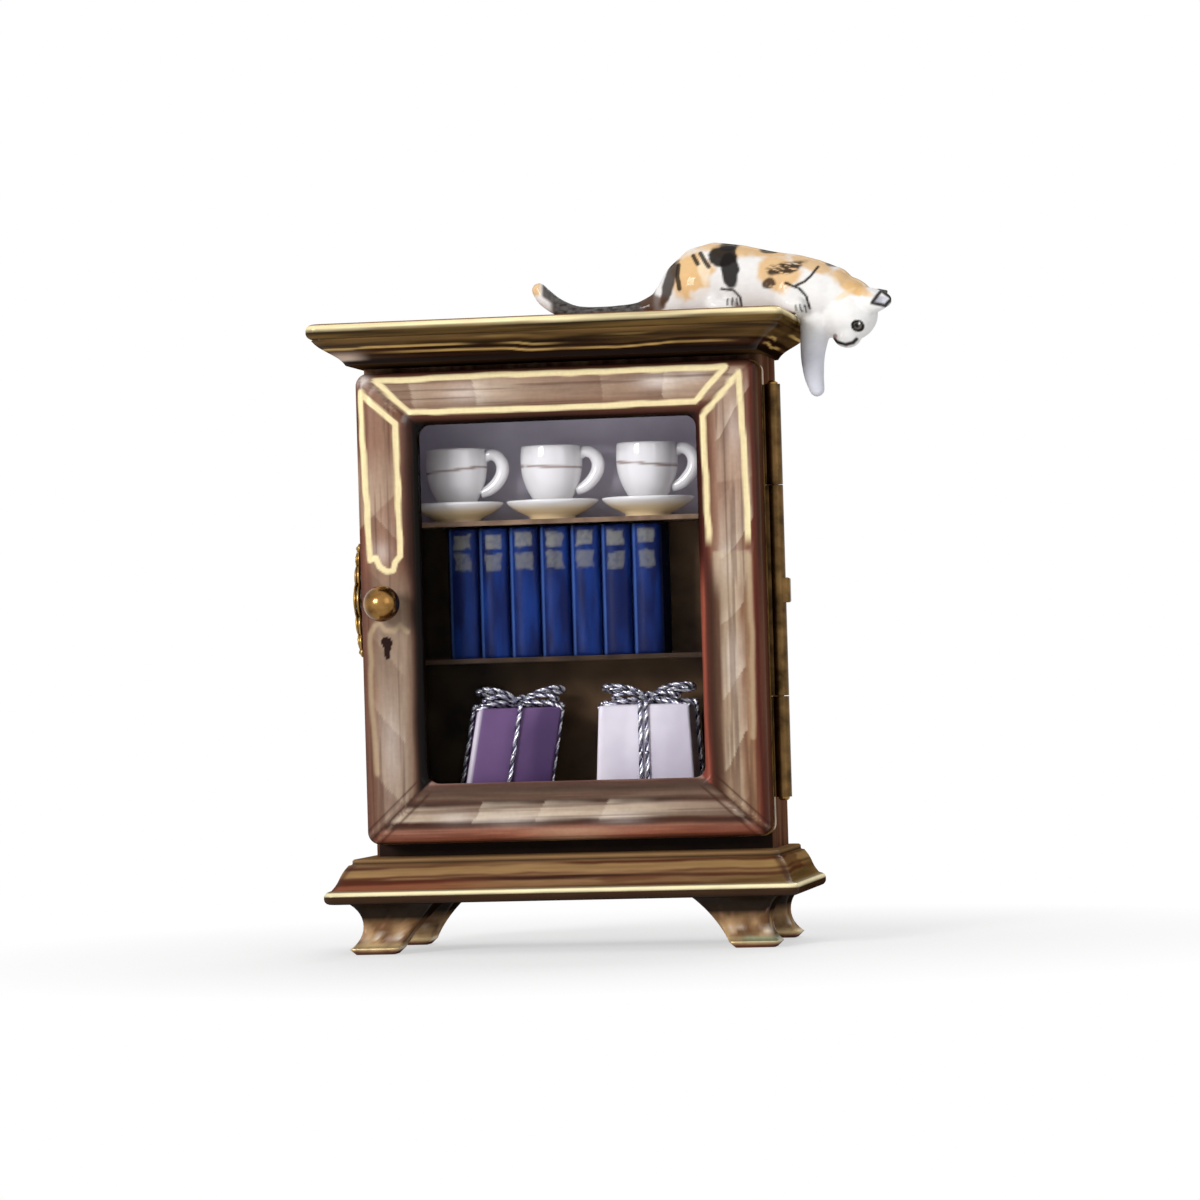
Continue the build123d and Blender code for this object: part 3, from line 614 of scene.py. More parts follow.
def rim_rings(half, front, back, low, high, radius, corner):
    """Rings over a rolled rim, from its underside to its top."""
    out = []
    for start, height in ((-90, low + radius), (0, high - radius)):
        for degrees in range(start, start + 91, 15):
            a = math.radians(degrees)
            d = radius * (1 - math.cos(a))
            out.append(level_ring(half - d, front + d, back - d, corner, height + radius * math.sin(a)))
    return out


def slope_rings(shares, bulge, start, change, corner):
    """Rings up a curved slope, from half width, front, back and height at its foot and how they change."""
    out = []
    for t in shares:
        s = t + bulge * math.sin(2 * math.pi * t)
        half, front, back, z = np.array(start) + np.array(change) * (s, s, s, t)
        out.append(level_ring(half, front, back, corner, z))
    return out


rings = slope_rings(np.arange(25) / 25, -0.07, (30.1, -10.2, 17.3, 85.4), (4.05, -4.85, 2.3, 3.62), 1.6)
rings += rim_rings(34.7, -15.6, 20.1, 89, 91.2, 0.9, 1.6)
cornice_glaze = glaze("cornice_painted_glaze", 0.2, 1200, 0.16, 0.16, 0.07, (0.25, 1, 1))
cornice = stack("cornice_painted", rings, cornice_glaze, "cabinet", "case_glaze", cap_rings=18)
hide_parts("cornice")


def wood_streaks(p, seed, low, high, rate):
    """Long streaks of two browns along the moulding, round its corners."""
    x, y, z = p.T
    run = x + 0.9 * y
    broad = fbm(at(run * rate, z * 1.5, np.abs(x) * 0.02), seed, 4)
    fine = fbm(at(run * rate * 5, z * 6, y * 0.4), seed + 5)
    colour = mix(srgb(*low), srgb(*high), step(broad, 0.3, 0.72)) * (0.78 + 0.44 * fine)[:, None]
    return colour, run, broad, fine


def broken_line(away, thin, thick, place, seed, start, end):
    """A line that comes and goes along the moulding."""
    return fall(np.abs(away), thin, thick) * step(fbm(place, seed, 2), start, end)


def cornice_colours(p):
    x, y, z = p.T
    colour, run, broad, fine = wood_streaks(p, 51, (34, 22, 12), (102, 76, 42), 0.035)
    slope = band(z, 85.3, 85.6, 88.9, 89.3)
    waver = fbm(at(run * 0.09, y * 0.02, 0), 57) - 0.5
    wob = z + 0.8 * waver + 0.006 * x
    lay(colour, ((60, 31, 19), 0.85 * slope * fall(wob, 86.7, 87.7)))
    for level, width, strength in ((88.75, 0.22, 0.8), (87.75, 0.26, 0.7), (87.1, 0.14, 0.8), (86.35, 0.2, 0.75)):
        line = broken_line(wob - level, width * 0.4, width * 1.6, at(run * 0.05, level * 3, 0), 61, 0.3, 0.55)
        lay(colour, ((26, 15, 9), strength * line * slope))
    for level, width in ((88.35, 0.14), (87.4, 0.11), (86.7, 0.12)):
        line = broken_line(wob - level, width * 0.5, width * 1.6, at(run * 0.07, level * 2, 0), 66, 0.4, 0.62)
        lay(colour, ((210, 172, 104), 0.85 * line * slope))
    lay(
        colour,
        # painted shadow: near black along the foot of the slope
        ((12, 7, 5), 0.92 * slope * fall(z + 0.5 * waver, 85.9, 86.5)),
        ((214, 190, 172), 0.7 * slope * step(-x, 25.5, 29.5) * band(z, 85.8, 86.2, 86.4, 87.4)),
    )
    rim = step(z, 88.9, 89.2)
    olive = mix(srgb(36, 24, 12), srgb(98, 75, 39), step(broad, 0.3, 0.7))
    colour = mix(colour, olive * (0.6 + 0.7 * fine)[:, None], rim)
    dash = broken_line(wob - 89.65, 0.08, 0.3, at(run * 0.05, y * 0.03, 0), 69, 0.4, 0.6)
    cream = step(z + 0.16 * waver, 90.2, 90.42) * fall(z, 90.92, 91.06)
    shown = cream * (0.55 + 0.45 * step(broad + 0.3 * fine, 0.35, 0.75))
    lay(colour, ((40, 24, 13), 0.8 * dash * rim), ((250, 232, 182), shown))
    brown = mix(srgb(96, 50, 32), srgb(150, 104, 62), broad)
    across = fbm(at(x * 0.05, y * 0.4, 3), 71)
    colour = mix(colour, brown * (0.6 + 0.7 * across)[:, None], step(z, 90.98, 91.12))
    # painted shade on the right end of the slope
    lay(colour, ((46, 28, 18), 0.7 * step(x, 33.2, 34.3) * slope))
    return colour, 0.12 * shown


paint(cornice, *cornice_colours(vertex_mm(cornice)))

rings = rim_rings(34.55, -14.3, 20.15, 7.4, 9.3, 0.8, 1.4)[:-2]
rings += slope_rings(np.arange(1, 25) / 24, 0.05, (33.75, -13.5, 19.35, 9.25), (-1.95, 3.7, -1.95, 3.6), 1.4)
for half, z in ((31.4, 12.95), (31.3, 13.1), (31.3, 13.5), (31.1, 13.7)):
    back = 17.25 if half == 31.4 else half - 14.1
    rings.append(level_ring(half, 22 - half, back, 1.4, z))
plinth_glaze = glaze("plinth_painted_glaze", 0.2, 1200, 0.16, 0.16, 0.07, (0.25, 1, 1))
plinth = stack("plinth_painted", rings, plinth_glaze, "cabinet", "case_glaze")
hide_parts("plinth")


def plinth_colours(p):
    x, y, z = p.T
    colour, run, broad, fine = wood_streaks(p, 83, (52, 28, 18), (136, 102, 70), 0.03)
    slope = band(z, 9.1, 9.4, 12.8, 12.95)
    waver = fbm(at(run * 0.1, y * 0.02, 0), 89) - 0.5
    wob = z + 0.9 * waver - 0.006 * x
    lay(
        colour,
        ((128, 58, 38), 0.65 * slope * fall(wob, 10.2, 11) * step(-x, 2, 26)),
        ((176, 140, 92), 0.5 * slope * band(wob, 11.2, 11.6, 12.3, 12.6)),
        ((150, 122, 66), 0.4 * slope * step(run, 4, 26) * (0.5 + 0.5 * broad)),
    )
    for level, width, strength in ((10.5, 0.22, 0.75), (11.2, 0.14, 0.6), (12.6, 0.2, 0.85)):
        line = broken_line(wob - level, width * 0.4, width * 1.8, at(run * 0.06, z * 0.2, level), 97, 0.3, 0.5)
        lay(colour, ((72, 30, 18), strength * line * slope))
    dark_patch = step(fbm(at(run * 0.07, z * 0.9, 4), 93), 0.56, 0.68)
    mitre = sum(near_line(u, -y, ((29.5, 8), (34.6, 14.4)), 0.9, 0.3) for u in (x, -x))
    cream = step(z + 0.12 * waver, 8.55, 8.8) * fall(z, 9.1, 9.24)
    top = step(z, 12.9, 13.05)
    lay(
        colour,
        ((80, 38, 22), 0.6 * slope * dark_patch),
        ((70, 38, 24), np.clip(0.7 * mitre * slope, 0, 1)),
        ((44, 27, 17), fall(z, 9.15, 9.3) * (0.85 + 0.15 * fine)),
        ((250, 236, 190), cream * (0.6 + 0.4 * step(broad + 0.3 * fine, 0.35, 0.75))),
        ((40, 24, 16), fall(z, 7.42, 7.7) * 0.9),
    )
    colour = mix(colour, srgb(150, 116, 76) * 0.8, 0.8 * top * (0.6 + 0.5 * broad))
    lay(colour, ((34, 20, 13), 0.85 * top * fall(z, 13.15, 13.4)))
    return colour, 0.1 * cream


paint(plinth, *plinth_colours(vertex_mm(plinth)))

foot_glaze = glaze("foot_painted_glaze", 0.2, 1200, 0.16, 0.14, 0.08)
FOOT_LEVELS = (0, 0.12, 0.3, 0.55, 0.8, 1, 1.4, 1.8, 2.3, 2.9, 3.5, 4.1, 4.7, 5.3, 5.8, 6.3, 6.8, 7.15, 7.4)
FOOT_X, FOOT_FRONT_Y, FOOT_REAR_Y = 31.35, -11.7, 17.55


def arc_through(a, b, c, z):
    """The x of an arc through three (x, z) points, at height z."""
    a, b, c = (np.array(q, float) for q in (a, b, c))
    cx, cz = np.linalg.solve(2 * np.array((b - a, c - a)), (b @ b - a @ a, c @ c - a @ a))
    radius = math.hypot(a[0] - cx, a[1] - cz)
    return cx + math.copysign(math.sqrt(max(radius**2 - (z - cz) ** 2, 0)), b[0] - cx)


def foot_span(share, z):
    """Outer and inner offsets of a foot at a height, along one side."""
    top, sole, edge, waist = 12.6 * share, 7.3 * share, 0.8, 1.7
    if z < edge:
        return edge - z, sole - edge + z
    outer = arc_through((0, 7.4), (waist, 4.6), (0, edge), z)
    return outer, arc_through((sole, edge), (sole + 2.7 * share, 4.6), (top, 7.4), z)


def make_foot(end_name, end, side_name, side):
    outer_y = FOOT_FRONT_Y if end < 0 else FOOT_REAR_Y
    rings = []
    for z in FOOT_LEVELS:
        x0, x1 = sorted(side * (FOOT_X - offset) for offset in foot_span(1, z))
        y0, y1 = sorted(outer_y - end * offset for offset in foot_span(0.8, z))
        rings.append(in_plane(rounded_ring(x0, x1, y0, y1, 0.55, 14, 14, 5), 2, z))
    foot = stack(f"foot_{end_name}_{side_name}_painted", rings, foot_glaze, "cabinet", "foot_glaze")
    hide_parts(f"foot_{end_name}_{side_name}")
    p = vertex_mm(foot)
    x, y, z = p.T
    streak = fbm(p * 0.5, 101 + int(side * 3 + end), 4)
    fine = fbm(p * 1.8, 107)
    glare = step(fbm(p * 0.7, 109, 2), 0.42, 0.66) * band(z, 1.6, 2.3, 2.4, 3.5)
    sole = fall(z, 1.2, 1.6)
    colour = mix(srgb(104, 72, 46), srgb(178, 144, 104), step(streak, 0.3, 0.7))
    lay(
        colour,
        # painted shade under the plinth's rim: near black at the top of the foot, with a brown fringe below
        ((20, 12, 8), 0.97 * step(z + 1.2 * (streak - 0.5), 4.2, 5.2)),
        ((92, 66, 42), 0.4 * band(z, 3.4, 4.2, 4.8, 5.2)),
        ((146, 104, 88), 0.5 * step(fine, 0.6, 0.75) * fall(z, 5, 6)),
        # painted highlights low on the foot
        ((236, 224, 208), 0.6 * glare),
        ((214, 190, 142), 0.9 * sole * step(z, 0.5, 0.8) * (0.4 + 0.6 * streak)),
        ((138, 150, 124), 0.75 * band(z, 0.7, 0.9, 1.5, 1.9) * step(x, 25, 27) * (y < 0)),
        ((86, 38, 28), 0.9 * fall(z, 0.35, 0.6)),
    )
    paint(foot, colour * (0.85 + 0.3 * fine)[:, None], 0.55 * sole * band(z, 0.4, 0.7, 1.1, 1.5))


for end_name, end in (("front", -1), ("rear", 1)):
    for side_name, side in (("left", -1), ("right", 1)):
        make_foot(end_name, end, side_name, side)

# ---- case, shelves, hinge and glass: CAD nodes with better materials ----


def case_material():
    """Streaked brown outside, lilac white in the top bay, brown below it that darkens to the left with painted
    shade, and painted shade on the lip under the door.
    """
    material, tree, shader = new_material("case_painted_glaze")
    place = add(tree, "TexCoord", {}, "Object")
    split = add(tree, "SeparateXYZ", {"Vector": place}).node.outputs

    def between(axis, low, high):
        """1 where a coordinate lies between two places in millimetres."""
        low, high = ((v - SHIFT["XYZ".index(axis)]) / 1000 for v in (low, high))
        return add(tree, "Math", {0: split[axis], 1: (low + high) / 2, 2: (high - low) / 2}, operation="COMPARE")

    def both(a, b):
        return add(tree, "Math", {0: a, 1: b}, operation="MULTIPLY")

    streaks = add_noise(tree, 420, 6, (1, 1, 0.07))
    browns = (srgb(64, 38, 26), srgb(98, 64, 46), srgb(132, 98, 76))
    outside = ramp(tree, streaks, *browns, places=(0.3, 0.5, 0.7))
    cloud = add_noise(tree, 120, 4)
    upper = ramp(tree, cloud, srgb(206, 200, 214), srgb(232, 228, 238))
    lower = ramp(tree, cloud, srgb(54, 38, 26), srgb(106, 82, 58))
    shade = ramp(tree, cloud, srgb(24, 14, 10), srgb(44, 28, 20))
    # painted shade: the lower bays darken towards the left
    shade_to_left = map_range(tree, split["X"], 0.25, 1.3, (-27.3 - SHIFT[0]) / 1000, (18.165 - SHIFT[0]) / 1000)
    inside = both(both(between("X", -27.3, 27.3), between("Y", 0.9, 15.3)), between("Z", 20.4, 81.1))
    inner = blend(tree, scaled(tree, lower, shade_to_left), upper, between("Z", 62.2, 81.2))
    # painted shade on the case's front below the door
    outer = blend(tree, outside, shade, both(between("Y", 0.7, 0.81), between("Z", 0, 20.4)))
    plug(tree, shader, {
        "Base Color": blend(tree, outer, inner, inside),
        "Roughness": map_range(tree, streaks, 0.24, 0.4),
    })
    fading_gloss(tree, shader, 0.05)
    add_bump(tree, shader, streaks, 0.1)
    return material


def shelf_material(name, tones, roughness, shine, top_tones=None):
    """Glaze between two close tones, and two others where the shelf faces up."""
    material, tree, shader = new_material(name)
    cloud = add_noise(tree, 240, 5)
    colour = ramp(tree, cloud, *tones)
    if top_tones:
        normal = add(tree, "NewGeometry", {}, "Normal")
        upward = add(tree, "SeparateXYZ", {"Vector": normal}, "Z")
        colour = blend(tree, colour, ramp(tree, cloud, *top_tones), upward)
    roughness = map_range(tree, cloud, *roughness)
    plug(tree, shader, {"Base Color": colour, "Roughness": roughness, "Specular IOR Level": shine})
    add_bump(tree, shader, cloud, 0.08)
    return material


def glass_material():
    """Clear, with a thin reflection that grows as the pane turns away."""
    material, tree, shader = new_material("window_glass")
    tree.nodes.remove(shader)
    clear = add(tree, "BsdfTransparent", {"Color": (0.98, 0.98, 0.99, 1)})
    gloss = add(tree, "BsdfGlossy", {"Roughness": map_range(tree, add_noise(tree, 60, 3), 0, 0.08)})
    surface(tree, add(tree, "MixShader", {"Fac": turned_away(tree, 0.45, 1, 0.001, 0.2), 1: clear, 2: gloss}))
    return material


def dress(material, *names):
    for name in names:
        nodes[name].data.materials.clear()
        nodes[name].data.materials.append(material)


dress(case_material(), "case")
EDGE_TONES, TOP_TONES = (srgb(84, 60, 46), srgb(150, 124, 100)), (srgb(176, 160, 140), srgb(214, 206, 192))
dress(shelf_material("shelf_pale_glaze", EDGE_TONES, (0.2, 0.3), 0.2, TOP_TONES), "upper_shelf")
dress(shelf_material("shelf_brown_glaze", (srgb(40, 29, 21), srgb(70, 52, 38)), (0.3, 0.38), 0.1), "lower_shelf")
dress(brass_dark, "case_bezel", "door_bezel", "hinge_pin", "pane_retainer")
dress(hinge_brass, "hinge_knuckle_lower", "hinge_knuckle_upper", "door_knuckle")
dress(brass, "clasp_stud")
dress(glass_material(), "window_pane")

# ---- knob ----
KNOB, KNOB_RADIUS, BALL_HEIGHT = (-25.6, DOOR_FRONT, 50.7), 2.64, 3.75
profile = [
    (0, -2.5), (0.68, -2.5), (0.7, -2.3), (0.7, -0.02), (1.66, -0.02), (1.7, 0.12), (1.62, 0.28), (1.45, 0.38),
    (1.15, 0.42), (1, 0.5), (0.95, 0.75), (1.05, 1.02), (1.15, 1.16),
]
for degrees in range(-55, 90, 5):
    a = math.radians(degrees)
    profile.append((KNOB_RADIUS * math.cos(a), BALL_HEIGHT + KNOB_RADIUS * math.sin(a)))
profile.append((0, BALL_HEIGHT + KNOB_RADIUS))
knob = lathe("knob_ball", profile, KNOB, knob_brass, "door", "brass", 72, forward=True)
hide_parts("door_knob")

# ---- clasp: a pierced plate with beads and scrolls ----
CLASP_X, CLASP_Y, CLASP_Z, CLASP_HALF = -30.05, -1.7, 51.4, 8.35
clasp = Parts()


def clasp_skin(z):
    """The plate's outer face at a height."""
    share = (z - CLASP_Z) / CLASP_HALF
    return CLASP_X - 0.45 - 0.4 * max(1 - share * share, 0)


def scroll(centre_z, radius, thickness):
    path = []
    for a in circle(24, closed=True):
        z = centre_z + radius * math.sin(a)
        path.append((clasp_skin(z) + 0.12, CLASP_Y + radius * math.cos(a), z))
    clasp.add(*tube_arrays(path, thickness, 8))


def bead(z, y, radius):
    x = clasp_skin(z) + 0.1
    points = []
    for latitude in range(10, 171, 20):
        r, h = radius * math.sin(math.radians(latitude)), -radius * math.cos(math.radians(latitude))
        points.extend((x + h, y + r * math.cos(a), z + r * math.sin(a)) for a in circle(10))
    clasp.add(points, ring_faces(9, 10))


def pierced_disc(centre_z, radius, hole):
    """A thin domed ring lying on the door's edge."""
    section = (
        (hole, 0.35), (hole, 0), (radius - 0.1, 0), (radius, 0.1), (radius, 0.3), (radius - 0.15, 0.45),
        ((radius + hole) / 2, 0.52), (hole + 0.1, 0.45),
    )
    points, count = [], 40
    for a in circle(count):
        points.extend((CLASP_X - h, CLASP_Y + r * math.cos(a), centre_z + r * math.sin(a)) for r, h in section)
    faces = ring_faces(count + 1, len(section), False, False)
    clasp.add(points, [tuple(i % len(points) for i in f) for f in faces])


for offset, radius, hole in ((0, 2.7, 0.9), (3.5, 1.9, 0.55), (6, 1.35, 0.4), (7.6, 0.75, 0.15)):
    for sign in (-1, 1) if offset else (1,):
        middle = CLASP_Z + sign * offset
        pierced_disc(middle, radius, hole)
        if radius > 1:
            scroll(middle, radius - 0.35, 0.2)
            scroll(middle, hole + 0.12, 0.13)
        beads = 12 if radius > 2 else 9 if radius > 1 else 1
        for a in circle(beads):
            out = radius * 0.64 if radius > 1 else 0
            bead(middle + out * math.sin(a), CLASP_Y + out * math.cos(a), 0.26 if radius > 1 else 0.4)
for sign in (-1, 1):
    vine = ((1.6, -2), (2.6, -1.1), (3.6, 0), (4.7, 1), (5.8, 0.2), (6.9, -0.5), (7.6, 0))
    line = [(clasp_skin(CLASP_Z + sign * h) + 0.1, CLASP_Y + y, CLASP_Z + sign * h) for h, y in vine]
    clasp.add(*tube_arrays(smooth_curve(line, 40), 0.16, 8))
filigree = mesh_object("clasp_filigree", clasp.points, clasp.faces, brass, "door", "brass")
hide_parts("clasp_plate")

# ---- cups and saucers ----
porcelain = glaze("porcelain_white_glaze", 0.09, 500, 0.03, 0.03, 0.5, coat=0.7)
ROW_Y, SHELF_TOP = 7.9, 62.6
CUP_BASE, CUP_LINE = SHELF_TOP + 1.3, 6.3
BOWL = ((1.92, 0.62), (2.25, 0.9), (2.8, 1.6), (3.6, 3), (4.2, 4.6), (4.5, 6.2), (4.56, 7.8), (4.44, 9.4))
CUP = [(0, 0), (1.95, 0), (2.1, 0.12), (2.1, 0.42)]
CUP += [tuple(q) for q in smooth_curve([(r, 0, h) for r, h in BOWL], 44)[:, [0, 2]]]
CUP += [(4.34, 9.58), (4.2, 9.55), (4.1, 9.2), (4.14, 7.9), (4.08, 6.3), (3.78, 4.7), (3.15, 3.2), (2.3, 2.2)]
CUP += [(1.2, 1.75), (0, 1.6)]
HANDLE = ((4.1, 8.1), (5.2, 8.6), (6.3, 8.2), (6.95, 7), (6.8, 5.6), (5.95, 4.3), (4.8, 3.4), (3.6, 3))
SAUCER = (
    (0, 0.5), (2.88, 0.5), (2.92, 0.06), (3, 0), (3.34, 0), (3.4, 0.08), (3.44, 0.5), (4.4, 0.92), (5.4, 1.42),
    (6.1, 1.9), (6.55, 2.3), (6.76, 2.58), (6.79, 2.74), (6.7, 2.86), (6.5, 2.88), (6.1, 2.6), (5.4, 2.02),
    (4.4, 1.62), (3, 1.3), (0, 1.3),
)


def plain(p, *rgb):
    return np.tile(srgb(*rgb), (len(p), 1))


for side_name, x, turn in (("left", -17.4, 0.35), ("middle", -3.1, -0.2), ("right", 11.2, -0.3)):
    white = (porcelain, "cabinet", "white_glaze")
    cup = lathe(f"cup_{side_name}_glazed", CUP, (x, ROW_Y, CUP_BASE), *white)
    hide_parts(f"cup_{side_name}")
    path = smooth_curve([(r, 0, h) for r, h in HANDLE], 44) + np.array((x, ROW_Y, CUP_BASE))
    skin = tube_arrays(path, 0.74 + 0.22 * np.sin(np.linspace(0, math.pi, 44)), 16)
    handle = mesh_object(f"cup_{side_name}_handle", *skin, *white)
    paint(handle, plain(vertex_mm(handle), 236, 234, 234))
    p = vertex_mm(cup)
    level = CUP_LINE + turn * (p[:, 0] - x) * 0.25 + 0.2 * noise(p * 0.3, 5)
    line = fall(np.abs(p[:, 2] - CUP_BASE - level), 0.1, 0.24)
    outside = step(np.hypot(p[:, 0] - x, p[:, 1] - ROW_Y), 4.3, 4.4)
    colour = plain(p, 238, 236, 236)
    lay(colour, ((120, 84, 66), 0.8 * line * outside * step(fbm(p * 0.3, 7, 2), 0.1, 0.35)))
    paint(cup, colour)
    saucer = lathe(f"saucer_{side_name}_glazed", SAUCER, (x, ROW_Y, SHELF_TOP), *white, count=112)
    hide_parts(f"saucer_{side_name}")
    p = vertex_mm(saucer)
    radius = np.hypot(p[:, 0] - x, p[:, 1] - ROW_Y)
    under = fall(p[:, 2] - SHELF_TOP - (radius - 3.4) * 0.42, 0.5, 1) * band(radius, 2.9, 3.2, 6.2, 6.7)
    colour = plain(p, 238, 236, 234)
    lay(colour, ((214, 186, 128), 0.8 * under))
    paint(saucer, colour)

# ---- books ----
BOOK_LOW, BOOK_HIGH, BOOK_HALF, BOOK_BACK, BOOK_JOINT, BOOK_SWELL = 42.4, 61.6, 2.25, 14.7, 6.5, 0.8
book_glaze = glaze("book_painted_glaze", 0.3, 900, 0.16, 0.16, 0.12, (1, 1, 0.5))
for number in range(7):
    x = -2.8 + (number - 3) * 4.58
    outline = []
    for k in range(25):
        s = -1 + 2 * k / 24
        outline.append((x + BOOK_HALF * s, BOOK_JOINT - BOOK_SWELL * (1 - s * s) ** 0.8 + 0.35 * abs(s) ** 12))
    depth = BOOK_BACK - BOOK_JOINT
    outline += [(x + BOOK_HALF - 0.03, BOOK_JOINT + depth * k / 8) for k in range(1, 9)]
    outline += [(x + BOOK_HALF - 2 * BOOK_HALF * k / 8, BOOK_BACK) for k in range(1, 9)]
    outline += [(x - BOOK_HALF + 0.03, BOOK_BACK - depth * k / 8) for k in range(1, 8)]
    outline = np.array(outline)
    middle = outline.mean(0)
    rings = []
    for z in np.linspace(BOOK_LOW, BOOK_HIGH, 66):
        inset = 0.12 * sum(math.exp(-((gap / 0.22) ** 2)) for gap in (z - BOOK_LOW, BOOK_HIGH - z))
        rings.append(in_plane(middle + (outline - middle) * (1 - inset / 4), 2, z))
    book = stack(f"book_{number + 1}_painted", rings, book_glaze, "cabinet", "book_glaze")
    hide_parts(f"book_{number + 1}")
    px, py, pz = vertex_mm(book).T
    tone = fbm(at(px * 0.7, py * 0.7, pz * 0.14), 201 + number)
    colour = mix(srgb(10, 24, 74), srgb(18, 48, 116), step(tone, 0.3, 0.75))
    hinge = step(np.abs(px - x), 1.95, 2.2)
    lay(
        colour,
        # a painted highlight down the left edge of each spine
        ((88, 122, 186), 0.5 * band(px - x, -2.12, -1.9, -1.75, -1.5)),
        ((9, 15, 52), 0.75 * hinge),
    )
    patch = fbm(at(px * 0.9, pz * 0.9, number), 211 + number)
    worn = step(fbm(at(px * 2.4, pz * 2.4, 0), 231 + number), 0.3, 0.55)
    for centre, tall, strong in ((59.8, 1.15, 0.85), (56.5, 1.35, 0.62)):
        offset = 0.4 * (lattice(np.array([[number, int(centre), 2]]), 5)[0] - 0.5)
        away = np.maximum(np.abs(pz - centre - offset) / tall, np.abs(px - x - 0.1) / 1.35) + 0.5 * (patch - 0.5)
        label = fall(away, 0.78, 1.02) * fall(py, 6.3, 6.6) * (0.72 + 0.28 * worn)
        lay(colour, ((124, 124, 118), strong * label))
    ends = step(pz, BOOK_HIGH - 0.02, BOOK_HIGH) + fall(pz, BOOK_LOW, BOOK_LOW + 0.02)
    lay(colour, ((206, 196, 176), 0.9 * np.clip(ends * (1 - hinge) * (py > 7.2), 0, 1)))
    paint(book, colour)

# ---- gifts and their twisted silver cords ----
CORD_RADIUS, CORD_PITCH, CORD_OFF, CORD_BEND = 0.35, 1.9, 0.33, 0.45
GIFT_HEIGHT, GIFT_DEPTH, GIFT_BASE = 13.9, 9, 20.5 + 0.62
# Heights of a box's rings, and how far each stands out.
GIFT_RINGS = (
    (0, -0.25), (0.08, -0.08), (0.25, 0), (3.5, 0), (7, 0), (10.5, 0), (13.5, 0), (13.75, -0.06), (13.9, -0.22),
)


def twisted_cord(paths, name):
    """Three strands, bright, grey and dark, laid round each path, as one mesh."""
    cord, tones = Parts(), []
    for number, path in enumerate(paths):
        length = np.linalg.norm(np.diff(path, axis=0), axis=1).sum()
        line = smooth_curve(path, max(int(length / CORD_PITCH * 14), 14))
        sides, others = side_vectors(line, (0.2, 0.5, 0.83))
        turn = np.linspace(0, 2 * math.pi * length / CORD_PITCH, len(line)) + number
        for strand, tone in enumerate(((250, 250, 255), (206, 206, 222), (84, 80, 98))):
            a = (turn + 2 * math.pi / 3 * strand)[:, None]
            strand_path = line + CORD_RADIUS * 0.5 * (np.cos(a) * sides + np.sin(a) * others)
            points, faces = tube_arrays(strand_path, CORD_RADIUS * 0.5, 7)
            cord.add(points, faces)
            tones.append(plain(points, *tone))
    piece = mesh_object(name, cord.points, cord.faces, silver, "cabinet", "silver_cord")
    glint = noise(np.array(cord.points) * 2.2, 9)
    paint(piece, np.vstack(tones) * (0.55 + 0.9 * glint)[:, None])
    return piece


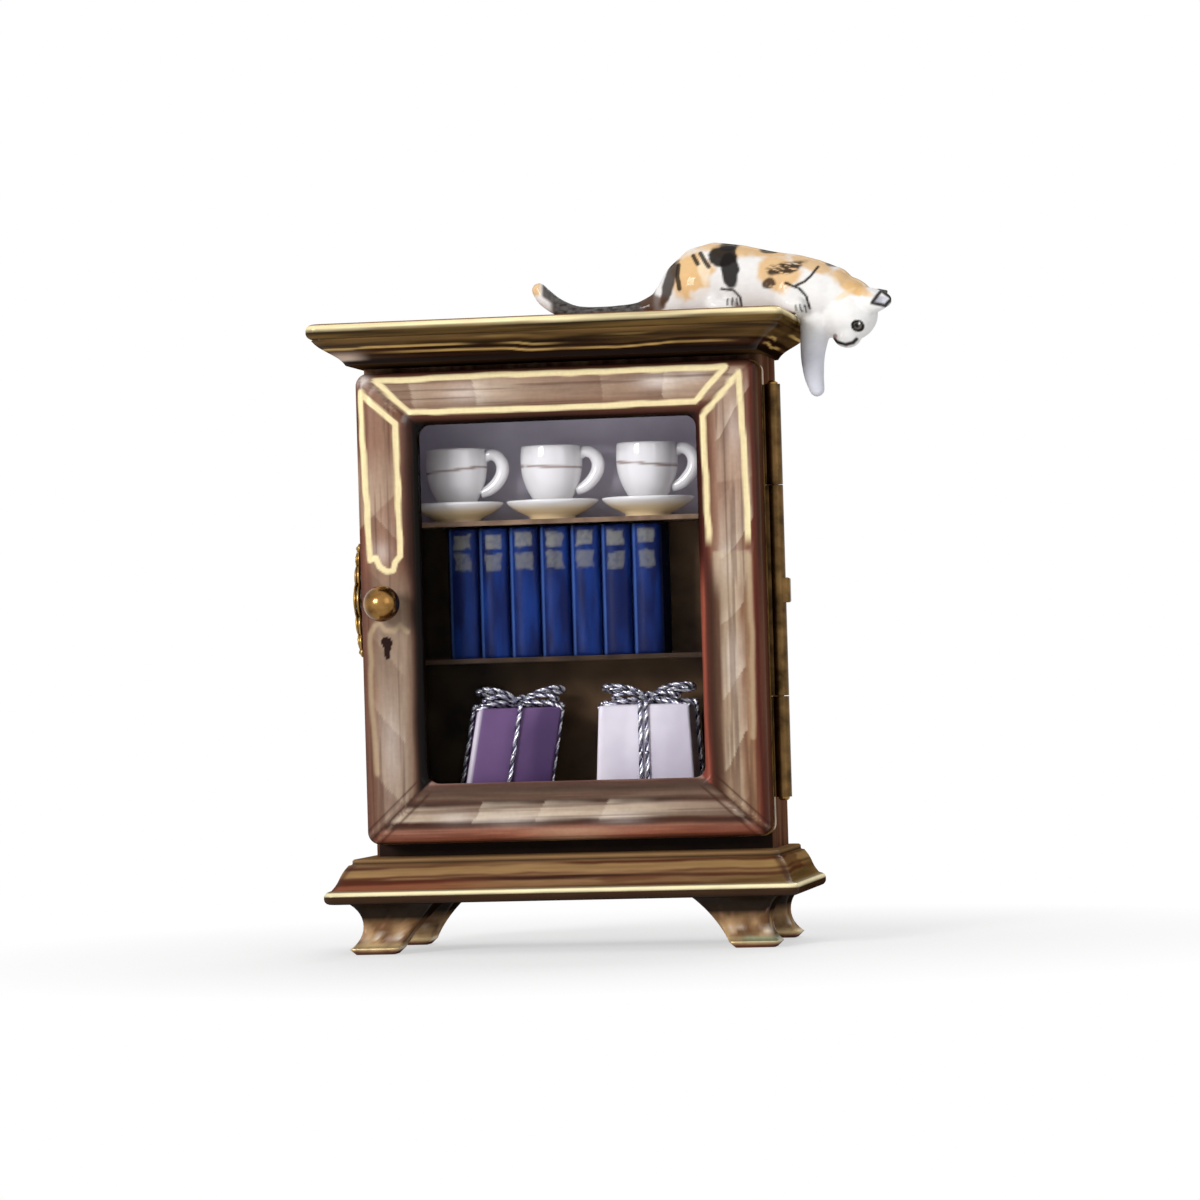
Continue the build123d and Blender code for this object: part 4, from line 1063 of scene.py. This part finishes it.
def gift(side_name, centre_x, width, turn, dark, light, lean, taper, slot, strands):
    """A wrapped box that turns, leans and narrows upwards, with strands of cord over its depth."""
    c, s = math.cos(math.radians(turn)), math.sin(math.radians(turn))
    right_box = side_name == "right"

    def place(points):
        x, y, z = np.asarray(points, float).T
        across = (c * x - s * y) * (1 - taper * z) + lean * z
        return np.stack([centre_x + across, ROW_Y + s * x + c * y, GIFT_BASE + z], 1)

    rings = []
    for z, grow in GIFT_RINGS:
        half_x, half_y = width / 2 + grow, GIFT_DEPTH / 2 + grow
        rings.append(place(in_plane(rounded_ring(-half_x, half_x, -half_y, half_y, 0.45, 26, 18, 5), 2, z)))
    paper = glaze(f"gift_{side_name}_paper_glaze", 0.3, 500, 0.08, 0.3, 0.25)
    box = stack(f"gift_{side_name}_wrapped", rings, paper, "cabinet", slot)
    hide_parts(f"gift_box_{side_name}")
    x, y, z = (vertex_mm(box) - np.array((centre_x, ROW_Y, GIFT_BASE))).T
    x = (x - lean * z) / (1 - taper * z)
    x, y = c * x + s * y, -s * x + c * y
    tone = fbm(at(x * 0.22, y * 0.22, z * 0.22), 241 + right_box)
    colour = mix(srgb(*dark), srgb(*light), step(tone - 0.02 * x, 0.25, 0.75))
    # painted highlight along the box's left front edge
    edge = step(-x - width / 2 + 0.45, -0.5, 0.1) * step(-y - GIFT_DEPTH / 2 + 0.45, -0.35, 0.1)
    lay(colour, ((240, 232, 240), 0.8 * edge))
    paint(box, mix(colour, srgb(*light) * 0.75, 0.5 * step(z, 13.3, 13.8)))
    h = GIFT_HEIGHT + CORD_OFF

    def round_the_box(out):
        """A closed loop that starts halfway up one side of the box and runs under it, up the other and over."""
        over = out - CORD_BEND
        heights = (CORD_BEND - CORD_OFF + 0.2, 3, GIFT_HEIGHT / 2, h - 3, h - CORD_BEND)
        up = [(over, 0), *((out, height) for height in heights), (over, h), (out / 2, h)]
        down = [(-a, b) for a, b in reversed(up)]
        return down[4:] + [(0, 0)] + up + [(0, h)] + down[:5]

    paths = [[(a, 0, b) for a, b in round_the_box(width / 2 + CORD_OFF)]]
    paths += [[(offset, a, b) for a, b in round_the_box(GIFT_DEPTH / 2 + CORD_OFF)] for offset in strands]
    top = h + 0.3
    reach = width / 2 + 0.2
    tail = 0.3 if right_box else 0.1
    for sign in (-1, 1):
        for bow in (
            ((0, 0, 0), (1.7, -0.9, 1.3), (3.8, -1.3, 2), (reach - 0.9, -0.9, 2.2), (reach, 0.2, 1.7),
             (reach - 1.2, 1.3, 1.3), (2.4, 1, 0.9), (0, 0.2, 0.3)),
            ((0, -0.2, 0.4), (1.5, -2, 0.9), (3.2, -3, 1.1), (4.9, -3.2, 0.8), (5.4, -2.2, 0.4), (3.4, -1.4, 0.2),
             (1.2, -0.6, 0.2)),
            ((0, 0.2, 0.2), (1.8, 1.9, 0.8), (4.1, 2.6, 1.6), (reach - 0.2, 2, 1.5)),
            ((0.4, -0.4, 0.3), (2.2, -2.6, 0.1), (4.4, -3.9, -tail), (reach - 0.1, -4.1, -1)),
        ):
            paths.append([(sign * a, b, top + up) for a, b, up in bow])
    knot = ((-0.9, -0.4, 0), (-0.4, -1, 0.8), (0.5, -0.9, 0.9), (0.9, 0, 0.3), (0.2, 0.8, 0.5), (-0.8, 0.4, 0.3))
    paths.append([(a, b, top + up) for a, b, up in knot])
    cords = twisted_cord([place(path) for path in paths], f"gift_{side_name}_twisted_cord")
    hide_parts(f"gift_cord_{side_name}")


gift("left", -11.6, 12.6, 14, (74, 52, 92), (112, 84, 128), 0.18, 0.001, "purple_glaze", (0,))
gift("right", 10.5, 15, -3, (204, 196, 210), (230, 224, 232), 0, 0.007, "white_glaze", (-0.5, 0.5))

# ---- the cat ----
CORNICE_END, CORNICE_TOP, CAT_Y, CAT_REACH = 34.7, 91.2, 3, 48.75
cat_parts = Parts()


def add_blob(centre, radii, tilt=0):
    """An ellipsoid turned about Y."""
    rows, cols = 22, 36
    ct, st = math.cos(math.radians(tilt)), math.sin(math.radians(tilt))
    points = []
    for i in range(rows + 1):
        lat = math.pi * (i + 0.001) / (rows + 0.002)
        for lon in circle(cols):
            x, y = radii[0] * math.sin(lat) * math.cos(lon), radii[1] * math.sin(lat) * math.sin(lon)
            z = radii[2] * math.cos(lat)
            points.append((centre[0] + ct * x - st * z, centre[1] + y, centre[2] + st * x + ct * z))
    cat_parts.add(points, ring_faces(rows + 1, cols))


def off_middle(points):
    """Points with their second coordinate measured from the cat's middle."""
    return [(x, CAT_Y + y, z) for x, y, z in points]


def add_limb(points, radii, count=26):
    line = smooth_curve(off_middle(points), count)
    sizes = np.interp(np.linspace(0, 1, count), np.linspace(0, 1, len(radii)), radii)
    cat_parts.add(*tube_arrays(line, sizes, 24))
    for end, size in ((line[0], sizes[0]), (line[-1], sizes[-1])):
        add_blob(end, (size, size, size))


# The trunk's x, middle height, half height and half width.
TRUNK = np.array((
    (13.6, 92.9, 2, 1.8), (16, 94.6, 4, 3.3), (19, 95.85, 5.35, 4.4), (22.8, 96.3, 5.8, 4.8), (27, 96.05, 5.45, 4.4),
    (31.4, 95.55, 4.85, 4), (35.4, 95.05, 4.65, 4.1), (38.4, 94.5, 4.3, 3.9), (40.6, 94.1, 3.75, 3.4),
))
stations = np.linspace(TRUNK[0, 0], TRUNK[-1, 0], 60)
points = []
for x, z, tall, wide in zip(*(np.interp(stations, TRUNK[:, 0], TRUNK[:, k]) for k in range(4))):
    points.extend((x, CAT_Y + wide * math.cos(a), z + tall * math.sin(a)) for a in circle(48))
cat_parts.add(points, ring_faces(60, 48))
for centre, radii, tilt in (
    ((42.35, 0, 90.85), (4.15, 4.05, 3.95), 0),  # head, crown, neck and throat
    ((42.3, 0, 92.9), (4.3, 3.5, 3.3), -28),
    ((40, 0, 94), (3.4, 3.6, 3.9), 0),
    ((41.3, 0, 89.7), (3.1, 3.2, 2.6), 0),
    ((42, -0.9, 87.6), (2.1, 2.2, 1.75), -8),  # muzzle, chin and the root of the near ear
    ((41.5, -1.9, 87.1), (1.2, 1.2, 1.05), 0),
    ((47, -2.7, 92.6), (1.95, 0.75, 1.35), -12),
    ((21.4, -2.6, 95.6), (4.6, 2.4, 4.3), 10),  # haunches and near shoulder
    ((20.8, 2.6, 95.4), (4.2, 2.2, 4.1), 10),
    ((34.2, -2.6, 94.2), (2.5, 1.8, 3.4), -12),
):
    add_blob(off_middle([centre])[0], radii, tilt)
add_limb(((23, -3.4, 93.6), (23.3, -4, 92.4), (25.2, -4.3, 92.25)), (1.5, 1.25, 1.15))
add_limb(((34, -3, 93.8), (34, -3.6, 92.4), (35.3, -3.9, 92.2)), (1.5, 1.2, 1.1))
arm = ((37.6, 0, 92), (37.2, 0, 88.2), (36.8, 0, 85.2), (36.9, -0.1, 82.2), (37.3, -0.2, 80.1))
add_limb(arm, (2.45, 2.15, 1.8, 1.5, 1.15), 40)
tail = ((15.4, 0, 93.8), (11.5, -0.2, 92.55), (7, -0.3, 92.3), (2.6, -0.3, 92.45), (-0.4, -0.2, 93.5))
add_limb((*tail, (-2.4, -0.2, 95), (-3.3, -0.2, 96.15)), (1.85, 1.25, 1.1, 1.12, 1.25, 1.3, 1.1), 60)
for base, tip, width in (((46.1, -2.3, 92.4), (48.75, -3, 92.1), 1.95), ((45.4, 2, 93.1), (47.8, 2.7, 94.2), 1.5)):
    base, tip = np.array(off_middle([base, tip]))
    line = [base - 0.6 * (tip - base), base, base + 0.5 * (tip - base), tip]
    sizes = np.interp(np.linspace(0, 1, 14), (0, 0.35, 0.7, 1), (width, width, width * 0.62, 0.2))
    cat_parts.add(*tube_arrays(smooth_curve(line, 14), sizes, 16))

cat_glaze = glaze("cat_painted_glaze", 0.07, 600, 0.03, 0.02, 0.14)
cat = mesh_object("cat_modelled", cat_parts.points, cat_parts.faces, cat_glaze, "cabinet", "cat_glaze")
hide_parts("cat_figure")
bpy.context.view_layer.objects.active = cat
remesh = cat.modifiers.new("remesh", "REMESH")
remesh.mode = "VOXEL"
remesh.voxel_size = 0.00021
soften = cat.modifiers.new("soften", "SMOOTH")
soften.factor = 0.6
soften.iterations = 14
depsgraph = bpy.context.evaluated_depsgraph_get()
finished = bpy.data.meshes.new_from_object(cat.evaluated_get(depsgraph))
cat.modifiers.clear()
old = cat.data
cat.data = finished
bpy.data.meshes.remove(old)
if not cat.data.materials:
    cat.data.materials.append(cat_glaze)
cat.data.polygons.foreach_set("use_smooth", [True] * len(cat.data.polygons))

# hollow the near ear and the eye, and sit the belly on the cornice
EYE_X, EYE_Z, EAR_X, EAR_Z = 43.8, 88.85, 47.4, 92.3
p = vertex_mm(cat)
on_cornice = p[:, 0] < CORNICE_END
p[on_cornice, 2] = np.maximum(p[on_cornice, 2], CORNICE_TOP)
for cx, cz, radius, depth, near_y in ((EAR_X, EAR_Z, 0.6, 0.5, -1.6), (EYE_X, EYE_Z, 1, 0.12, -1)):
    hollow = np.exp(-((np.hypot(p[:, 0] - cx, p[:, 2] - cz) / radius) ** 2)) * (p[:, 1] < CAT_Y + near_y)
    p[:, 1] += depth * hollow
p[:, 0] = np.minimum(p[:, 0], CAT_REACH)
cat.data.vertices.foreach_set("co", metres(p).ravel())
cat.data.update()

WHITE, TAN, BLACK = (238, 236, 234), (226, 184, 126), (24, 19, 17)
# Drawn lines on the near side: points, width and strength.
CAT_LINES = (
    (((24.3, 94.9), (26, 94.7), (26.9, 93.6), (27, 92.4)), 0.36, 0.95),
    (((38.2, 97.6), (37.3, 96.3), (36.4, 95.5), (35.2, 95)), 0.38, 0.97),
    (((33.6, 95.4), (35.5, 94.6), (36.6, 93.3), (36.9, 91.7)), 0.38, 0.97),
    (((25.2, 93.4), (25.25, 92.5)), 0.24, 0.9),
    (((25.8, 93.5), (25.85, 92.5)), 0.24, 0.9),
    (((26.35, 93.4), (26.4, 92.6)), 0.24, 0.9),
    (((35.1, 92), (35.1, 91.3)), 0.24, 0.9),
    (((35.7, 92.1), (35.75, 91.3)), 0.24, 0.9),
    (((36.3, 92), (36.35, 91.2)), 0.24, 0.9),
    (((20.1, 100), (20.9, 98.7)), 0.62, 0.92),
    (((21.2, 100.3), (21.8, 99.3), (22.5, 98.2)), 0.66, 0.92),
    (((17.9, 98.7), (17.8, 97), (18.1, 95.2)), 0.72, 0.92),
)


def cat_colours(p):
    x, y, z = p.T
    forward = -(y - CAT_Y)
    near = step(forward, -0.6, 0.8)
    far, all_round = 1 - near, 1 + 0 * near
    wob = fbm(p * 0.55, 301) - 0.5
    fur = fbm(at(x * 1.5, y * 1.5, z * 3.2), 307)
    brush = step(fbm(at(x * 0.8 - z * 0.5, y * 0.8, z * 4.5 + x * 1.2), 331, 2), 0.26, 0.5)
    colour = plain(p, *WHITE)

    def spot(cx, cz, rx, rz, turn=0, soft=0.25):
        c, s = math.cos(math.radians(turn)), math.sin(math.radians(turn))
        u, v = (x - cx) * c + (z - cz) * s, -(x - cx) * s + (z - cz) * c
        return fall(np.sqrt((u / rx) ** 2 + (v / rz) ** 2) + 0.9 * wob, 1 - soft, 1 + soft)

    for rgb, amount, where, *place in (
        # tan: haunch, back, shoulder and nape, with white patches and a paler stroke at the nape; the cream spot
        # high on the haunch is a painted highlight
        (TAN, 0.95, near, 19.9, 96.9, 3, 3.9),
        (TAN, 0.9, all_round, 27, 100.7, 6, 1.4, -6),
        (TAN, 0.9, near, 32.6, 97, 3.4, 2.7, -10),
        (TAN, 0.85, all_round, 37, 98.6, 3.6, 1.3, -20),
        (TAN, 0.9, all_round, 42.8, 95.4, 2.6, 1.5, -38),
        (TAN, 0.8, far, 29.5, 97, 8, 3),
        ((246, 230, 204), 0.7, near, 21.8, 97.6, 0.8, 2.2, 8),
        (WHITE, 0.9, near, 28.3, 97.4, 1.3, 2.6, -8),
        (WHITE, 0.85, all_round, 22.4, 93.6, 2.6, 1.5),
        (TAN, 0.85, near, 44.2, 94, 2.2, 0.8, -30),
        ((238, 206, 158), 0.6, near, 42, 93.4, 1.5, 0.45, 30),
        # black and dark brown patches
        (BLACK, 0.97, near, 24.5, 99.9, 2.3, 1.5, -6, 0.16),
        (BLACK, 0.97, near, 25.6, 97.4, 1.15, 2.8, 5, 0.16),
        (BLACK, 0.9, all_round, 25, 101.3, 1.5, 0.8, 0, 0.3),
        (BLACK, 0.9, all_round, 30.8, 100.5, 1.3, 0.5, -6, 0.25),
        (BLACK, 0.85, all_round, 39.9, 98, 0.8, 0.3, -20, 0.3),
        ((44, 32, 26), 0.92, all_round, 16.4, 96.2, 0.95, 3.4, -20, 0.22),
        ((54, 40, 32), 0.96, near * brush, 33.7, 97.7, 2.6, 0.95, 10, 0.2),
        ((70, 50, 36), 0.95, near * brush, 31.1, 95.4, 1.1, 0.75, 20, 0.22),
        (BLACK, 0.85, far, 27.5, 97.5, 3.2, 2.6, 0, 0.3),
        (BLACK, 0.85, far, 38, 95.5, 2, 1.4, 0, 0.3),
    ):
        lay(colour, (rgb, amount * spot(*place) * where))
    is_tail = step(-x, -14.5, -13.5)
    tail_dark = is_tail * step(x, -1.9, -0.9) * step(z - 92.3 + 0.4 * wob, -0.7, -0.3)
    lay(
        colour,
        # tail: dark above, with a tan and white tip
        ((38, 28, 22), 0.97 * tail_dark * (0.8 + 0.3 * fur)),
        ((44, 33, 27), 0.9 * is_tail * band(x, -3, -2.4, -1.6, -0.6) * step(z + 0.7 * x, 92.9, 93.5)),
        (TAN, 0.85 * is_tail * fall(x, -3.4, -2.5) * step(z, 95, 95.6)),
        ((86, 60, 42), 0.85 * spot(13.8, 93.4, 2.2, 1.4) * near),
        # the hanging arm is painted a cool bluish grey: painted shade
        ((206, 208, 222), 0.75 * fall(z, 84, 90.5) * fall(x, 38.6, 39.6)),
    )
    colour *= (0.94 + 0.1 * fur)[:, None]
    shift = 0.2 * wob
    strokes = [near_line(x + shift, z + shift, line, width, 0.1) * strength for line, width, strength in CAT_LINES]
    face = step(forward, 1.2, 1.8)
    eye = np.hypot((x - EYE_X) / 1.02, (z - EYE_Z) / 0.92)
    mouth = near_line(x, z, ((40.2, 87.2), (40.8, 86.6), (41.9, 86.25), (43, 86.5), (43.5, 87)), 0.46, 0.14)
    ear = step(x, 45.6, 46) * near
    ear_edge = near_line(x, z, ((46.1, 92), (47.4, 93.8), (48.9, 92.6), (47.9, 91.6), (46.1, 92)), 0.5, 0.14)
    lay(
        colour,
        (BLACK, np.max(strokes, 0) * near),
        # the eye: rim, iris, pupil and glint
        (BLACK, fall(eye, 0.84, 1) * face * step(x, 38, 39)),
        ((112, 108, 98), fall(eye, 0.46, 0.6) * face * 0.8),
        (BLACK, fall(np.hypot(x - EYE_X + 0.1, z - EYE_Z - 0.05), 0.26, 0.38) * face),
        ((250, 250, 250), fall(np.hypot(x - EYE_X - 0.26, z - EYE_Z - 0.34), 0.1, 0.22) * face),
        # mouth, nose and ears
        ((40, 30, 28), mouth * step(forward, 0.2, 1)),
        ((128, 90, 84), 0.8 * fall(np.hypot(x - 40.4, z - 87.5), 0.25, 0.5) * step(forward, 0.6, 1.2)),
        ((176, 178, 192), 0.7 * ear * fall(np.hypot((x - EAR_X) / 1.1, (z - EAR_Z) / 0.8), 0.7, 1)),
        (BLACK, 0.97 * ear * ear_edge),
        (BLACK, 0.9 * step(x, 46, 46.6) * far * step(z, 93, 93.5)),
    )
    return colour


paint(cat, cat_colours(vertex_mm(cat)))

# ---- floor, light and camera ----
FLOOR_HALF, FLOOR_DROP = 4, 0.00005
floor_mesh = bpy.data.meshes.new("floor")
corners = [(x * FLOOR_HALF, y * FLOOR_HALF, 0) for x, y in ((-1, -1), (1, -1), (1, 1), (-1, 1))]
floor_mesh.from_pydata(corners, [], [(0, 1, 2, 3)])
floor = in_scene("floor", floor_mesh)
floor.location.z = -FLOOR_DROP


def seen_directly(tree):
    """1 for the camera, and for what metal and glass show."""
    rays = add(tree, "LightPath", {}).node.outputs
    total = rays["Is Camera Ray"]
    for name in ("Is Glossy Ray", "Is Transmission Ray"):
        total = add(tree, "Math", {0: total, 1: rays[name]}, operation="MAXIMUM")
    return total


# The floor is pale, and glows white away from the cabinet's shadow.
floor_material, tree, shader = new_material("floor_pale")
tone = ramp(tree, add_noise(tree, 3, 2), (0.84, 0.84, 0.84), (0.88, 0.88, 0.88), places=(0.4, 0.6))
plug(tree, shader, {"Base Color": tone, "Roughness": 0.9, "Specular IOR Level": 0.1})
place = add(tree, "TexCoord", {}, "Object")
distance = add(tree, "VectorMath", {0: place}, "Value", operation="LENGTH")
share = {0: map_range(tree, distance, 0.55, 1, 0.045, 0.11), 1: seen_directly(tree)}
glow = add(tree, "Emission", {"Color": (1, 1, 1, 1), "Strength": 1})
share = add(tree, "Math", share, operation="MULTIPLY")
surface(tree, add(tree, "MixShader", {"Fac": share, 1: shader.outputs["BSDF"], 2: glow}))
floor_mesh.materials.append(floor_material)

WORLD_LIGHT = 0.46
world = bpy.data.worlds.new("studio")
bpy.context.scene.world = world
world.use_nodes = True
tree = world.node_tree
light = tree.nodes["Background"]
plug(tree, light, {"Color": (1, 1, 1, 1), "Strength": WORLD_LIGHT})
white = add(tree, "Background", {"Color": (1, 1, 1, 1), "Strength": 1})
pick = add(tree, "MixShader", {"Fac": seen_directly(tree), 1: light.outputs["Background"], 2: white})
surface(tree, pick, "World Output")


def lamp(name, place, size, power):
    data = bpy.data.lights.new(name, "AREA")
    data.shape = "RECTANGLE"
    data.size, data.size_y = size
    data.energy = power
    light = in_scene(name, data)
    light.location = place
    light.rotation_euler = (Vector((0, 0, 0.05)) - Vector(place)).to_track_quat("-Z", "Y").to_euler()


lamp("key", (-0.5, -0.85, 0.34), (0.3, 0.3), 7.4)
lamp("fill", (0.6, -0.6, 0.3), (0.4, 0.5), 0.7)
lamp("back", (0.1, 0.6, 0.5), (0.5, 0.3), 2.2)

# The camera was fitted to the photograph: degrees, millimetres, and pixels per millimetre at the target.
YAW, PITCH, ROLL, DISTANCE, SCALE = 9.5, -0.9, 1.65, 700, 6.92
TARGET, IMAGE_WIDTH, SENSOR_WIDTH = np.array((5.9, -6, 50.3)), 1200, 36
yaw, pitch, roll = (math.radians(v) for v in (YAW, PITCH, ROLL))
back = Vector((math.sin(yaw) * math.cos(pitch), -math.cos(yaw) * math.cos(pitch), math.sin(pitch)))
right = Vector((math.cos(yaw), math.sin(yaw), 0))
up = back.cross(right)
rolled_right = right * math.cos(roll) - up * math.sin(roll)
rolled_up = right * math.sin(roll) + up * math.cos(roll)
camera_data = bpy.data.cameras.new("camera")
camera_data.sensor_fit = "HORIZONTAL"
camera_data.sensor_width = SENSOR_WIDTH
camera_data.lens = SCALE * DISTANCE / IMAGE_WIDTH * SENSOR_WIDTH
camera_data.clip_start, camera_data.clip_end = 0.05, 20
camera = in_scene("camera", camera_data)
spot = Vector(metres(TARGET + DISTANCE * np.array(back)))
turn = Matrix((rolled_right, rolled_up, back)).transposed()
camera.matrix_world = Matrix.Translation(spot) @ turn.to_4x4()
bpy.context.scene.camera = camera

bpy.context.scene.view_settings.view_transform = "Standard"

bpy.context.view_layer.update()
